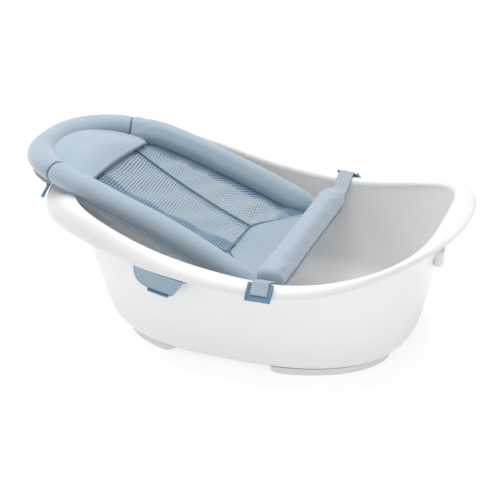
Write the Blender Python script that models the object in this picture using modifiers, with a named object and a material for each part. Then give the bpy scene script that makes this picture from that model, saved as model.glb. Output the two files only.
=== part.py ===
"""Baby bathtub with a newborn sling: a moulded basin, and a padded mesh sling that clips to its rim.

Metres, +Z up. X runs along the tub with the head end at -X, and the near side is at -Y.
The origin is under the middle of the whole object, on the surface that it stands on. The shapes
are worked out about the middle of the basin, and everything is moved along X at the end.
"""

import math

import bmesh
import bpy
from mathutils import Matrix, Vector

# Basin
TUB_LENGTH = 0.712
TUB_WIDTH = 0.486
WALL = 0.003
CROWN_LOW = 0.191
CROWN_HEAD = 0.258
CROWN_FOOT = 0.254
CROWN_LOW_X = 0.10
CROWN_POWER = 1.7
CROWN_SWELL = 11.5
LIP_HEAD = 0.067
LIP_SIDE = 0.0244
LIP_FOOT = 0.020
DROP_HEAD = 0.049
DROP_SIDE = 0.0165
DROP_FOOT = 0.006
SHOULDER_HEAD = 0.009
SHOULDER_SIDE = 0.009
SHOULDER_FOOT = 0.023
SHOULDER_DEPTH = 0.012
BASE_HEAD = 0.237
BASE_FOOT = 0.271
BASE_SIDE = 0.183
BASE_FILLET = 0.0405
FLOOR_Z = 0.011
EDGE_EXPONENT = 2.5
CROWN_EXPONENT = 3.23
WALL_EXPONENT = 3.6
BASE_EXPONENT = 2.43
RIM_STEPS = 64
LUG_SIZE = (0.0155, 0.024, 0.032)
LUG_SHARE = 0.70

# The sling overhangs the head end, so the basin's middle lies this far from the origin
CENTRE_X = 0.0193

# Foot pads and drain
PAD_INSET = 0.020
PAD_WIDTH = 0.024
DRAIN_X = 0.165
DRAIN_HOLE_R = 0.0168

# Sling
SLEEVE_R = 0.0175
WIRE_R = 0.004
BORE_R = 0.0066
HEAD_X = -0.3727
BEND_X = -0.12
FOOT_X = 0.0426
HOOP_HALF_WIDTH = 0.146
HOOP_FLARE = 0.0645
HOOP_EXPONENT = 2.53
HOOP_HEAD_Z = 0.291
HOOP_FOOT_Z = 0.157
HOOP_POWER = 1.465
SEAM_X = -0.285
BAR_X = 0.083
BAR_Z = 0.178
CUSHION_HALF_LENGTH = 0.185
CUSHION_RX = 0.0235
CUSHION_RZ = 0.0185
MESH_THICKNESS = 0.0016
STRAP_THICKNESS = 0.0016
GAP = 0.0003

# Clips
FRONT_CLIP_X = 0.0885
FRONT_CLIP_SIZE = (0.040, 0.033)
HEAD_CLIP_ANGLE = 14.0
HEAD_CLIP_SIZE = (0.026, 0.026)

# Side flap
FLAP_HINGE = Vector((-0.080, -0.229, 0.188))
FLAP_AXIS = Vector((0.092, -0.0066, -0.0137))
FLAP_WIDTH = 0.088
FLAP_HEIGHT = 0.040

WHITE = (0.86, 0.87, 0.87)
PAD_WHITE = (0.78, 0.79, 0.80)
FABRIC = (0.45, 0.56, 0.64)
MESH = (0.40, 0.52, 0.60)
WEBBING = (0.48, 0.58, 0.64)
CLIP_BLUE = (0.15, 0.27, 0.36)
FLAP_BLUE = (0.36, 0.48, 0.54)
STEEL = (0.55, 0.56, 0.58)
PLUG_BLUE = (0.22, 0.36, 0.46)


def clear_scene():
    for item in list(bpy.data.objects):
        bpy.data.objects.remove(item)


def collection(name):
    made = bpy.data.collections.new(name)
    bpy.context.scene.collection.children.link(made)
    return made


def material(name, colour, roughness, metallic=0.0):
    found = bpy.data.materials.get(name)
    if found:
        return found
    made = bpy.data.materials.new(name)
    made.use_nodes = True
    shader = made.node_tree.nodes["Principled BSDF"]
    shader.inputs["Base Color"].default_value = (*colour, 1.0)
    shader.inputs["Roughness"].default_value = roughness
    shader.inputs["Metallic"].default_value = metallic
    return made


def add_object(name, mesh, group, finish=None, parent=None, cutter=False):
    """Links a mesh as an object. Its points are in the parent's space where it has one."""
    made = bpy.data.objects.new(name, mesh)
    group.objects.link(made)
    if finish:
        mesh.materials.clear()
        mesh.materials.append(finish)
    if parent:
        made.parent = parent
    if cutter:
        made.hide_render = True
        made.display_type = "WIRE"
    return made


def smooth(mesh, degrees=35.0):
    mesh.shade_smooth()
    mesh.set_sharp_from_angle(angle=math.radians(degrees))


def mesh_from_bmesh(name, work):
    mesh = bpy.data.meshes.new(name)
    bmesh.ops.recalc_face_normals(work, faces=work.faces)
    work.to_mesh(mesh)
    work.free()
    smooth(mesh)
    return mesh


def loft_mesh(name, sections, closed_rings=True, caps=True, outward=True):
    """A surface through sections of equal length. Closed rings join end to end, and caps fill both ends."""
    work = bmesh.new()
    rows = [[work.verts.new(point) for point in section] for section in sections]
    count = len(rows[0])
    steps = count if closed_rings else count - 1
    for first, second in zip(rows, rows[1:]):
        for j in range(steps):
            k = (j + 1) % count
            work.faces.new((first[j], first[k], second[k], second[j]))
    if caps:
        work.faces.new(rows[-1])
        work.faces.new(list(reversed(rows[0])))
    mesh = bpy.data.meshes.new(name)
    if outward:
        bmesh.ops.recalc_face_normals(work, faces=work.faces)
    work.to_mesh(mesh)
    work.free()
    smooth(mesh)
    return mesh


def curve_object(name, points, radius, group, radii=None, resolution=2, cyclic=False):
    """A round tube with filled ends along a polyline."""
    curve = bpy.data.curves.new(name, "CURVE")
    curve.dimensions = "3D"
    curve.bevel_depth = radius
    curve.bevel_resolution = resolution
    curve.use_fill_caps = not cyclic
    spline = curve.splines.new("POLY")
    spline.points.add(len(points) - 1)
    for i, point in enumerate(points):
        spline.points[i].co = (*point, 1.0)
        spline.points[i].radius = radii[i] if radii else 1.0
    spline.use_cyclic_u = cyclic
    made = bpy.data.objects.new(name, curve)
    group.objects.link(made)
    return made


def tube(name, points, radius, group, finish, radii=None, resolution=2, parent=None, cutter=False):
    """A round tube made into a welded mesh object, so that it can be cut."""
    source = curve_object(name + "_curve", points, radius, group, radii, resolution)
    graph = bpy.context.evaluated_depsgraph_get()
    graph.update()
    mesh = bpy.data.meshes.new_from_object(source.evaluated_get(graph))
    curve = source.data
    bpy.data.objects.remove(source)
    bpy.data.curves.remove(curve)
    work = bmesh.new()
    work.from_mesh(mesh)
    bmesh.ops.remove_doubles(work, verts=work.verts, dist=1e-6)
    bmesh.ops.recalc_face_normals(work, faces=work.faces)
    work.to_mesh(mesh)
    work.free()
    smooth(mesh)
    mesh.name = name
    return add_object(name, mesh, group, finish, parent, cutter)


def box_mesh(name, size, centre, bevel=0.0):
    """A box primitive with its edges rounded by bevel."""
    work = bmesh.new()
    place = Matrix.Translation(centre) @ Matrix.Diagonal((*size, 1.0))
    bmesh.ops.create_cube(work, size=1.0, matrix=place)
    if bevel:
        bmesh.ops.bevel(work, geom=work.edges, offset=bevel, segments=2, affect="EDGES", profile=0.5)
    return mesh_from_bmesh(name, work)


def cylinder_mesh(name, radius, length, axis, centre, sides=24):
    """A closed cylinder along X, Y or Z."""
    turn = {
        "X": Matrix.Rotation(math.radians(90), 4, "Y"),
        "Y": Matrix.Rotation(math.radians(90), 4, "X"),
        "Z": Matrix.Identity(4),
    }[axis]
    work = bmesh.new()
    bmesh.ops.create_cone(
        work,
        cap_ends=True,
        segments=sides,
        radius1=radius,
        radius2=radius,
        depth=length,
        matrix=Matrix.Translation(centre) @ turn,
    )
    return mesh_from_bmesh(name, work)


def turned(name, profile, centre, group, finish, sides=32):
    """A solid turned about Z from a closed profile of (radius, height) points, top to bottom on its outer side."""
    work = bmesh.new()
    verts = [work.verts.new((r, 0.0, z)) for r, z in profile]
    for a, b in zip(verts, verts[1:]):
        work.edges.new((a, b))
    if profile[0][0] > 0:
        work.edges.new((verts[-1], verts[0]))
    mesh = bpy.data.meshes.new(name)
    work.to_mesh(mesh)
    work.free()
    made = add_object(name, mesh, group, finish)
    made.location = centre
    screw = made.modifiers.new("Turn", "SCREW")
    screw.axis = "Z"
    screw.steps = sides
    screw.render_steps = sides
    screw.use_merge_vertices = True
    screw.merge_threshold = 0.00001
    screw.use_smooth_shade = True
    return made


def boolean(target, tool, operation):
    cut = target.modifiers.new(operation.title(), "BOOLEAN")
    cut.operation = operation
    cut.object = tool
    cut.solver = "EXACT"
    return cut


def solidify(target, thickness, offset=-1.0):
    wall = target.modifiers.new("Wall", "SOLIDIFY")
    wall.thickness = thickness
    wall.offset = offset
    wall.use_even_offset = True
    wall.use_quality_normals = True
    return wall


# Basin


def signed_power(value, exponent):
    return math.copysign(abs(value) ** exponent, value)


def superellipse(angle, head, foot, half_width, exponent):
    """The plan point at a polar angle on an oval whose two ends differ in length."""
    cosine, sine = math.cos(angle), math.sin(angle)
    length = head if cosine < 0 else foot
    radius = (abs(cosine / length) ** exponent + abs(sine / half_width) ** exponent) ** (-1.0 / exponent)
    return radius * cosine, radius * sine


def crown_height(x):
    """Height of the rim's crown: a saddle that is lowest a little towards the foot end."""
    if x < CROWN_LOW_X:
        share = (CROWN_LOW_X - x) / (TUB_LENGTH / 2 - LIP_HEAD + CROWN_LOW_X)
        rise = share**CROWN_POWER + CROWN_SWELL * share**6 * (1.0 - share) ** 2
        return CROWN_LOW + (CROWN_HEAD - CROWN_LOW) * rise
    share = (x - CROWN_LOW_X) / (TUB_LENGTH / 2 - LIP_FOOT - CROWN_LOW_X)
    return CROWN_LOW + (CROWN_FOOT - CROWN_LOW) * share**CROWN_POWER


def crown_point(angle):
    head = TUB_LENGTH / 2 - LIP_HEAD
    foot = TUB_LENGTH / 2 - LIP_FOOT
    x, y = superellipse(angle, head, foot, TUB_WIDTH / 2 - LIP_SIDE, CROWN_EXPONENT)
    return Vector((x, y, crown_height(x)))


def lip_drop(angle):
    end = DROP_HEAD if math.cos(angle) < 0 else DROP_FOOT
    return DROP_SIDE + (end - DROP_SIDE) * math.cos(angle) ** 2


def lip_point(angle, turn):
    """A point on the rolled lip, from its lower outer edge at turn 0 to the crown at a quarter turn."""
    crown = crown_point(angle)
    x, y = superellipse(angle, TUB_LENGTH / 2, TUB_LENGTH / 2, TUB_WIDTH / 2, EDGE_EXPONENT)
    drop = lip_drop(angle)
    outward = math.cos(turn)
    return Vector(
        (
            crown.x + (x - crown.x) * outward,
            crown.y + (y - crown.y) * outward,
            crown.z - drop + drop * math.sin(turn),
        )
    )


def wall_point(angle, share):
    """A point on the inner wall, from the floor's fillet at 0 to the shoulder's foot at 1."""
    head = BASE_HEAD + (TUB_LENGTH / 2 - LIP_HEAD - SHOULDER_HEAD - BASE_HEAD) * share
    foot = BASE_FOOT + (TUB_LENGTH / 2 - LIP_FOOT - SHOULDER_FOOT - BASE_FOOT) * share
    side = BASE_SIDE + (TUB_WIDTH / 2 - LIP_SIDE - SHOULDER_SIDE - BASE_SIDE) * share
    exponent = BASE_EXPONENT + (WALL_EXPONENT - BASE_EXPONENT) * share
    x, y = superellipse(angle, head, foot, side, exponent)
    top = crown_point(angle).z - SHOULDER_DEPTH
    z = FLOOR_Z + (top - FLOOR_Z) * share
    depth = min(1.0, (z - FLOOR_Z) / BASE_FILLET)
    inset = BASE_FILLET * (1.0 - math.sqrt(max(0.0, 1.0 - (1.0 - depth) ** 2)))
    keep = 1.0 - inset / math.hypot(x, y)
    return Vector((x * keep, y * keep, z))


def shoulder_point(angle, turn):
    """A point on the rounded step from the crown, at turn 0, down to the inner wall, at a quarter turn."""
    crown = crown_point(angle)
    wall = wall_point(angle, 1.0)
    inward = math.sin(turn)
    return Vector(
        (
            crown.x + (wall.x - crown.x) * inward,
            crown.y + (wall.y - crown.y) * inward,
            crown.z - SHOULDER_DEPTH * (1.0 - math.cos(turn)),
        )
    )


def rim_angles():
    return [2.0 * math.pi * (i + 0.5) / RIM_STEPS for i in range(RIM_STEPS)]


def fillet_share(depth):
    """The wall share at which the floor's fillet reaches a part of its height, at the middle of the tub."""
    return depth * BASE_FILLET / (CROWN_LOW - SHOULDER_DEPTH - FLOOR_Z)


def make_tub(group, cutters):
    quarter = math.pi / 2
    angles = rim_angles()
    sections = [[lip_point(a, t * quarter) for a in angles] for t in (0.0, 0.22, 0.48, 0.75, 1.0)]
    sections += [[shoulder_point(a, t * quarter) for a in angles] for t in (0.34, 0.67, 1.0)]
    shares = (0.75, 0.5, fillet_share(1.0), fillet_share(0.55), fillet_share(0.25), fillet_share(0.08), 0.0)
    sections += [[wall_point(a, s) for a in angles] for s in shares]
    mesh = loft_mesh("tub_shell", sections, caps=False, outward=False)
    work = bmesh.new()
    work.from_mesh(mesh)
    work.verts.ensure_lookup_table()
    work.faces.new([work.verts[len(work.verts) - RIM_STEPS + i] for i in range(RIM_STEPS)])
    work.to_mesh(mesh)
    work.free()
    tub = add_object("tub_shell", mesh, group, material("tub_plastic", WHITE, 0.35))
    solidify(tub, WALL)
    hole = cylinder_mesh("drain_cutter", DRAIN_HOLE_R, 0.02, "Z", (DRAIN_X, 0.0, FLOOR_Z), 32)
    boolean(tub, add_object("drain_cutter", hole, cutters, cutter=True), "DIFFERENCE")
    # the moulded lug starts inside the foot-end wall's thickness and stands out from it
    start = wall_point(0.0, LUG_SHARE) + Vector((WALL * 0.4, 0.0, 0.0))
    lug = box_mesh("lug_shape", LUG_SIZE, start + Vector((LUG_SIZE[0] / 2, 0.0, 0.0)), 0.005)
    boolean(tub, add_object("lug_shape", lug, cutters, cutter=True), "UNION")
    return tub


def base_point(angle, inset):
    """A plan point set in from the outline of the outer wall at the base."""
    x, y = superellipse(angle, BASE_HEAD + WALL, BASE_FOOT + WALL, BASE_SIDE + WALL, BASE_EXPONENT)
    keep = 1.0 - inset / math.hypot(x, y)
    return x * keep, y * keep


def make_pads(group):
    finish = material("foot_pad", PAD_WHITE, 0.7)
    inner = PAD_INSET + PAD_WIDTH
    # the pad's section as (inset, height), under the fillet of the basin
    section = ((PAD_INSET, 0.0), (PAD_INSET, 0.0132), (PAD_INSET + 0.010, 0.0086), (inner, 0.0074), (inner, 0.0))
    spans = {
        "foot_pad_foot_near": (-63.0, -12.0),
        "foot_pad_foot_far": (12.0, 63.0),
        "foot_pad_head_far": (121.0, 168.0),
        "foot_pad_head_near": (192.0, 239.0),
    }
    steps = 12
    for name, (start, end) in spans.items():
        rows = []
        for i in range(steps + 1):
            angle = math.radians(start + (end - start) * i / steps)
            rows.append([Vector((*base_point(angle, inset), z)) for inset, z in section])
        add_object(name, loft_mesh(name, rows), group, finish)


def make_drain(group):
    outside = FLOOR_Z - WALL
    seat = (
        (0.0225, FLOOR_Z + 0.0022),
        (0.0225, FLOOR_Z + GAP),
        (0.0163, FLOOR_Z + GAP),
        (0.0163, outside - 0.0005),
        (0.0140, outside - 0.0005),
        (0.0140, FLOOR_Z + 0.0022),
    )
    turned("drain_seat", seat, (DRAIN_X, 0.0, 0.0), group, material("drain_seat", PAD_WHITE, 0.5))
    top = FLOOR_Z + 0.0022 + GAP
    plug = (
        (0.0, top + 0.0170),
        (0.0060, top + 0.0160),
        (0.0075, top + 0.0130),
        (0.0060, top + 0.0100),
        (0.0040, top + 0.0080),
        (0.0045, top + 0.0045),
        (0.0175, top + 0.0030),
        (0.0190, top + 0.0015),
        (0.0190, top),
        (0.0136, top),
        (0.0132, outside),
        (0.0, outside),
    )
    turned("drain_plug", plug, (DRAIN_X, 0.0, 0.0), group, material("drain_plug", PLUG_BLUE, 0.55))


# Side flap


def flap_frame():
    """The hinge's own space: X along the hinge towards the head, Y outward from the wall, Z up."""
    along = -FLAP_AXIS.normalized()
    outward = Vector((-along.y, along.x, 0.0)).normalized()
    up = along.cross(outward)
    turn = Matrix((along, outward, up)).transposed().to_4x4()
    return Matrix.Translation(FLAP_HINGE) @ turn


def flap_outline(width, height, top):
    """A half-moon with a flattened bottom, in the hinge's X and Z."""
    half = width / 2
    points = [(-half, top), (half, top)]
    steps = 10
    for i in range(1, steps):
        angle = math.pi * i / steps
        x = half * signed_power(math.cos(angle), 0.62)
        points.append((x, top - height * math.sin(angle) ** 0.62))
    return points


def make_flap(group, cutters):
    frame = bpy.data.objects.new("flap_axis", None)
    frame.matrix_world = flap_frame()
    group.objects.link(frame)
    front = flap_outline(FLAP_WIDTH - 0.008, FLAP_HEIGHT - 0.003, -0.0027)
    back = flap_outline(FLAP_WIDTH, FLAP_HEIGHT, -0.0027)
    lean = 0.22
    rows = [
        [Vector((x, 0.0040 + z * lean, z)) for x, z in front],
        [Vector((x, 0.0005 + z * lean, z)) for x, z in back],
        [Vector((x, -0.0060 + z * lean, z)) for x, z in back],
    ]
    finish = material("flap_plastic", FLAP_BLUE, 0.45)
    flap = add_object("side_flap", loft_mesh("side_flap", rows), group, finish, frame)
    barrel = cylinder_mesh("flap_barrel", 0.0038, FLAP_WIDTH - 0.006, "X", (0.0, 0.0, 0.0), 16)
    barrel_object = add_object("flap_barrel", barrel, cutters, parent=frame, cutter=True)
    boolean(flap, barrel_object, "UNION")
    bore = cylinder_mesh("flap_bore", 0.0018, FLAP_WIDTH + 0.02, "X", (0.0, 0.0, 0.0), 16)
    boolean(flap, add_object("flap_bore", bore, cutters, parent=frame, cutter=True), "DIFFERENCE")
    pin_length = FLAP_WIDTH + 0.007
    pin = cylinder_mesh("flap_pin", 0.0014, pin_length, "X", (0.0, 0.0, 0.0), 16)
    add_object("flap_pin", pin, group, material("hinge_steel", STEEL, 0.3, 1.0), frame)
    tab_z = -FLAP_HEIGHT - 0.003
    tab = box_mesh("flap_tab", (0.034, 0.007, 0.0045), (-0.004, -0.0025 + tab_z * lean, tab_z - 0.0028), 0.001)
    add_object("flap_tab", tab, group, material("clip_plastic", CLIP_BLUE, 0.4), frame)
    bar = box_mesh("flap_bracket", (FLAP_WIDTH + 0.013, 0.004, 0.008), (0.0, -0.0135, 0.001))
    bracket = add_object("flap_bracket", bar, group, material("flap_plastic", FLAP_BLUE, 0.45), frame)
    for side in (-1, 1):
        name = "flap_ear_" + ("head" if side > 0 else "foot")
        place = (side * (FLAP_WIDTH / 2 + 0.0035), -0.0050, 0.0)
        ear = box_mesh(name, (0.003, 0.0165, 0.0068), place)
        boolean(bracket, add_object(name, ear, cutters, parent=frame, cutter=True), "UNION")
    hole = cylinder_mesh("bracket_bore", 0.0017, FLAP_WIDTH + 0.03, "X", (0.0, 0.0, 0.0), 16)
    boolean(bracket, add_object("bracket_bore", hole, cutters, parent=frame, cutter=True), "DIFFERENCE")


# Sling


def hoop_height(x):
    share = max(0.0, (x - HEAD_X) / (FOOT_X - HEAD_X))
    return HOOP_HEAD_Z + (HOOP_FOOT_Z - HOOP_HEAD_Z) * share**HOOP_POWER


def hoop_half_width(x):
    """Half the distance between the two sides of the hoop, along the straight part and round the head."""
    if x >= BEND_X:
        return HOOP_HALF_WIDTH + HOOP_FLARE * (x - BEND_X)
    share = min(1.0, (BEND_X - x) / (BEND_X - HEAD_X))
    return HOOP_HALF_WIDTH * (1.0 - share**HOOP_EXPONENT) ** (1.0 / HOOP_EXPONENT)


def hoop_point(x, side, inset=0.0):
    return Vector((x, side * (hoop_half_width(x) - inset), hoop_height(x)))


def even_path(points, count):
    """The same polyline with count points at equal spacing."""
    lengths = [0.0]
    for a, b in zip(points, points[1:]):
        lengths.append(lengths[-1] + (b - a).length)
    result = []
    k = 0
    for i in range(count):
        goal = lengths[-1] * i / (count - 1)
        while k < len(lengths) - 2 and lengths[k + 1] < goal:
            k += 1
        span = lengths[k + 1] - lengths[k]
        share = (goal - lengths[k]) / span if span else 0.0
        result.append(points[k].lerp(points[k + 1], min(1.0, max(0.0, share))))
    return result


def side_path(side, start, end, count):
    """The hoop's side from x start to x end."""
    fine = 60
    return even_path([hoop_point(start + (end - start) * i / fine, side) for i in range(fine + 1)], count)


def head_path(start, count, inset=0.0):
    """Round the head from the near side to the far side, starting and ending at x start."""
    fine = 160
    points = []
    span = BEND_X - HEAD_X
    limit = math.acos(max(-1.0, min(1.0, (BEND_X - start) / span)))
    for i in range(fine + 1):
        turn = -limit + 2.0 * limit * i / fine
        share = math.cos(turn) ** (2.0 / HOOP_EXPONENT)
        x = BEND_X - span * share
        width = HOOP_HALF_WIDTH * abs(math.sin(turn)) ** (2.0 / HOOP_EXPONENT)
        points.append(Vector((x, math.copysign(width, turn), hoop_height(x))))
    first = min(range(len(points)), key=lambda i: (abs(points[i].x - start) + (points[i].y > 0)))
    last = len(points) - 1 - first
    kept = [hoop_point(start, -1)] + [p for p in points[first + 1 : last]] + [hoop_point(start, 1)]
    return even_path([Vector((p.x, p.y, p.z)) for p in kept], count)


def rod_corner(side):
    """The foot rod's end from inside the sleeve, round the corner, to the straight bar."""
    return [
        hoop_point(0.012, side),
        hoop_point(0.034, side),
        hoop_point(0.0475, side),
        Vector((0.0600, side * 0.1580, 0.1540)),
        Vector((0.0700, side * 0.1560, 0.1605)),
        Vector((0.0780, side * 0.1500, 0.1685)),
        Vector((0.0820, side * 0.1400, 0.1750)),
        Vector((BAR_X, side * 0.1280, BAR_Z)),
    ]


def seam_tangent(side):
    """The hoop's direction towards the foot where two sleeve sections meet."""
    return (hoop_point(SEAM_X + 0.004, side) - hoop_point(SEAM_X - 0.004, side)).normalized()


def side_sleeve_path(side, count):
    """From the foot tip to the seam, its last stretch square to the seam."""
    seam, along = hoop_point(SEAM_X, side), seam_tangent(side)
    return side_path(side, FOOT_X, SEAM_X + 0.020, count) + [seam + along * 0.007, seam + along * GAP]


def head_sleeve_path(count):
    """Round the head from seam to seam, its end stretches square to the seams."""
    ends = []
    for side in (-1, 1):
        seam, along = hoop_point(SEAM_X, side), seam_tangent(side)
        ends.append([seam - along * GAP, seam - along * 0.007])
    return ends[0] + head_path(SEAM_X - 0.018, count) + list(reversed(ends[1]))


def make_frame(group):
    steel = material("frame_steel", STEEL, 0.35, 1.0)
    near = side_path(-1, 0.0, SEAM_X, 14)
    far = side_path(1, SEAM_X, 0.0, 14)
    hoop = near + head_path(SEAM_X, 15)[1:-1] + far
    tube("frame_hoop", hoop, WIRE_R, group, steel)
    near_end = rod_corner(-1)
    far_end = list(reversed(rod_corner(1)))
    near_end[0] = hoop_point(0.0006, -1)
    far_end[-1] = hoop_point(0.0006, 1)
    tube("foot_rod", near_end + far_end, WIRE_R, group, steel)


def make_ferrules(group, cutters):
    steel = material("frame_steel", STEEL, 0.35, 1.0)
    for side, word in ((-1, "near"), (1, "far")):
        name = "frame_ferrule_" + word
        body = tube(name, side_path(side, -0.014, 0.014, 3), 0.0060, group, steel)
        bore = tube(name + "_bore", side_path(side, -0.020, 0.020, 3), WIRE_R + 0.0003, cutters, None, cutter=True)
        boolean(body, bore, "DIFFERENCE")


def make_sleeves(group, cutters):
    fabric = material("padded_fabric", FABRIC, 0.85)
    tip_radii = [0.60, 0.86, 0.96] + [1.0] * 13
    for side, word in ((-1, "near"), (1, "far")):
        name = "sleeve_" + word
        path = side_sleeve_path(side, 14)
        sleeve = tube(name, path, SLEEVE_R, group, fabric, radii=tip_radii, resolution=3)
        bore_path = side_path(side, FOOT_X + 0.010, SEAM_X - 0.010, 15)
        bore = tube(name + "_bore", bore_path, BORE_R, cutters, None, cutter=True)
        boolean(sleeve, bore, "DIFFERENCE")
    path = head_sleeve_path(15)
    sleeve = tube("sleeve_head", path, SLEEVE_R, group, fabric, resolution=3)
    bore_path = [hoop_point(SEAM_X + 0.008, -1)] + path[1:-1] + [hoop_point(SEAM_X + 0.008, 1)]
    bore = tube("sleeve_head_bore", bore_path, BORE_R, cutters, None, cutter=True)
    boolean(sleeve, bore, "DIFFERENCE")


def ribbon(name, centre_line, across, width, thickness, group, finish, parent=None):
    """A flat strap: its centre line, the direction across it at each point, and Solidify for its thickness."""
    rows = [[p - a * width / 2, p + a * width / 2] for p, a in zip(centre_line, across)]
    mesh = loft_mesh(name, rows, closed_rings=False, caps=False)
    made = add_object(name, mesh, group, finish, parent)
    solidify(made, thickness, offset=0.0)
    return made


def welt_line(path):
    """The welt's middle line and its spread: down and outward from the sleeve's lower outer edge."""
    line, spread = [], []
    for i, point in enumerate(path):
        ahead = path[min(i + 1, len(path) - 1)] - path[max(i - 1, 0)]
        outward = Vector((ahead.y, -ahead.x, 0.0)).normalized()
        if outward.dot(Vector((point.x - BEND_X if point.x < BEND_X else 0.0, point.y, 0.0))) < 0:
            outward.negate()
        slope = (outward - Vector((0.0, 0.0, 0.85))).normalized()
        line.append(point + slope * (SLEEVE_R + 0.0044))
        spread.append(slope)
    return line, spread


def make_welts(group):
    fabric = material("padded_fabric", FABRIC, 0.85)
    paths = {
        "welt_near": side_path(-1, 0.020, SEAM_X + 0.004, 14),
        "welt_head": head_path(SEAM_X - 0.004, 17),
        "welt_far": side_path(1, SEAM_X + 0.004, 0.020, 14),
    }
    for name, path in paths.items():
        line, spread = welt_line(path)
        ribbon(name, line, spread, 0.0068, 0.0024, group, fabric)


def seam_line(x):
    """Half width and height of the long seams between the back panel and the side panels."""
    start, end = -0.2555, -0.0350
    share = (x - start) / (end - start)
    return 0.081 - 0.026 * share, 0.2455 - 0.1245 * share + 0.0260 * share**2


def rail_point(x, side):
    """Where the side mesh meets the sleeve, low on its inner side."""
    return Vector((x, side * (hoop_half_width(x) - 0.0172), hoop_height(x) - 0.0120))


def seat_edge(share, side):
    """The seat panel's side edge, from the cross seam to the foot corner."""
    start = Vector((-0.0335, side * 0.0540, 0.1475))
    end = Vector((0.0400, side * 0.1330, 0.1445))
    return start.lerp(end, share)


def panel(name, rows, group):
    mesh = loft_mesh(name, rows, closed_rings=False, caps=False)
    made = add_object(name, mesh, group, material("mesh_fabric", MESH, 0.8))
    solidify(made, MESH_THICKNESS, offset=0.0)
    return made


def make_mesh_panels(group):
    back_rows = []
    for i in range(11):
        x = -0.2540 + (0.2540 - 0.0360) * i / 10
        half, z = seam_line(x)
        half -= 0.0014
        row = []
        for j in range(9):
            share = -1.0 + 2.0 * j / 8
            row.append(Vector((x, half * share, z - 0.006 * (1.0 - share**2))))
        back_rows.append(row)
    panel("back_mesh", back_rows, group)
    for side, word in ((-1, "near"), (1, "far")):
        rows = []
        for i in range(15):
            x = -0.2540 + (0.2540 + 0.0320) * i / 14
            outer = rail_point(x, side)
            if x < -0.0335:
                half, z = seam_line(x)
                inner = Vector((x, side * (half + 0.0014), z))
            else:
                share = (x + 0.0335) / (0.0400 + 0.0335)
                inner = seat_edge(share, side) + Vector((0.0, side * 0.0026, 0.0022))
            rows.append([inner.lerp(outer, j / 4) - Vector((0, 0, 0.004 * math.sin(math.pi * j / 4))) for j in range(5)])
        panel("side_mesh_" + word, rows, group)
    seat_rows = []
    for i in range(9):
        share = i / 8
        left, right = seat_edge(share * 0.96 + 0.02, -1), seat_edge(share * 0.96 + 0.02, 1)
        lift = 0.004 * share
        row = []
        for j in range(13):
            across = j / 12
            point = left.lerp(right, across)
            bow = math.sin(math.pi * across)
            row.append(point + Vector((0.016 * bow * share, 0.0, lift - 0.005 * bow)))
        seat_rows.append(row)
    panel("seat_mesh", seat_rows, group)


def make_pillow(group):
    """Half-moon headrest: flat-based, crowned on top, its front edge straight across."""
    fabric = material("padded_fabric", FABRIC, 0.85)
    front_x = -0.2575
    outline = []
    for point in head_path(front_x, 25):
        inward = Vector((BEND_X - 0.08 - point.x, -point.y, 0.0)).normalized()
        outline.append(point + inward * (SLEEVE_R + 0.0035))
    outline = [Vector((min(p.x, front_x), p.y, 0.0)) for p in outline]
    across = 10
    first, last = outline[-1], outline[0]
    outline += [first.lerp(last, i / across) for i in range(1, across)]
    centre = Vector((-0.300, 0.0, 0.0))
    rows = []
    heights = ((0.93, 0.0), (1.0, 0.004), (0.985, 0.009), (0.90, 0.0155), (0.70, 0.0205), (0.40, 0.0230))
    for keep, height in heights:
        row = []
        for p in outline:
            q = centre.lerp(p, keep)
            row.append(Vector((q.x, q.y, 0.2612 - 0.30 * (q.x + 0.289) + height)))
        rows.append(row)
    add_object("headrest_pillow", loft_mesh("headrest_pillow", rows), group, fabric)


def make_cushion(group, cutters):
    """The foot cushion: an oval padded roll round the foot rod, rounded at its ends."""
    fabric = material("padded_fabric", FABRIC, 0.85)
    rows = []
    for y, size in (
        (-1.0, 0.52), (-0.985, 0.80), (-0.95, 0.94), (-0.88, 1.0), (-0.5, 1.0), (0.0, 1.0),
        (0.5, 1.0), (0.88, 1.0), (0.95, 0.94), (0.985, 0.80), (1.0, 0.52),
    ):
        row = []
        for i in range(16):
            angle = 2.0 * math.pi * i / 16
            x = BAR_X + CUSHION_RX * size * math.cos(angle)
            row.append(Vector((x, y * CUSHION_HALF_LENGTH, BAR_Z + CUSHION_RZ * size * math.sin(angle))))
        rows.append(row)
    cushion = add_object("foot_cushion", loft_mesh("foot_cushion", rows), group, fabric)
    near = rod_corner(-1)
    far = list(reversed(rod_corner(1)))
    bore = tube("cushion_bore", near + far, WIRE_R + 0.0006, cutters, None, cutter=True)
    boolean(cushion, bore, "DIFFERENCE")
    line, spread = [], []
    slope = Vector((0.80, 0.0, -0.60))
    for i in range(9):
        y = (-0.93 + 1.86 * i / 8) * CUSHION_HALF_LENGTH
        line.append(Vector((BAR_X, y, BAR_Z)) + slope * 0.0275)
        spread.append(slope)
    ribbon("cushion_welt", line, spread, 0.008, 0.0024, group, fabric)


# Clips and straps


def lip_frame(angle, turn, lift):
    """A frame on the lip: X along the rim, Y down and outward over the lip, Z out of it."""
    here = lip_point(angle, turn)
    along = (lip_point(angle - 0.05, turn) - lip_point(angle + 0.05, turn)).normalized()
    down = (lip_point(angle, turn - 0.05) - lip_point(angle, turn + 0.05)).normalized()
    outward = along.cross(down).normalized()
    down = outward.cross(along)
    axes = Matrix((along, down, outward)).transposed().to_4x4()
    return Matrix.Translation(here + outward * lift) @ axes


def rim_angle_at(x, side, turn):
    """The polar angle, on one side, where the lip's point at this turn has this x."""
    low, high = math.radians(20.0), math.radians(160.0)
    for _ in range(40):
        middle = (low + high) / 2
        if lip_point(middle, turn).x > x:
            low = middle
        else:
            high = middle
    return side * low


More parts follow.
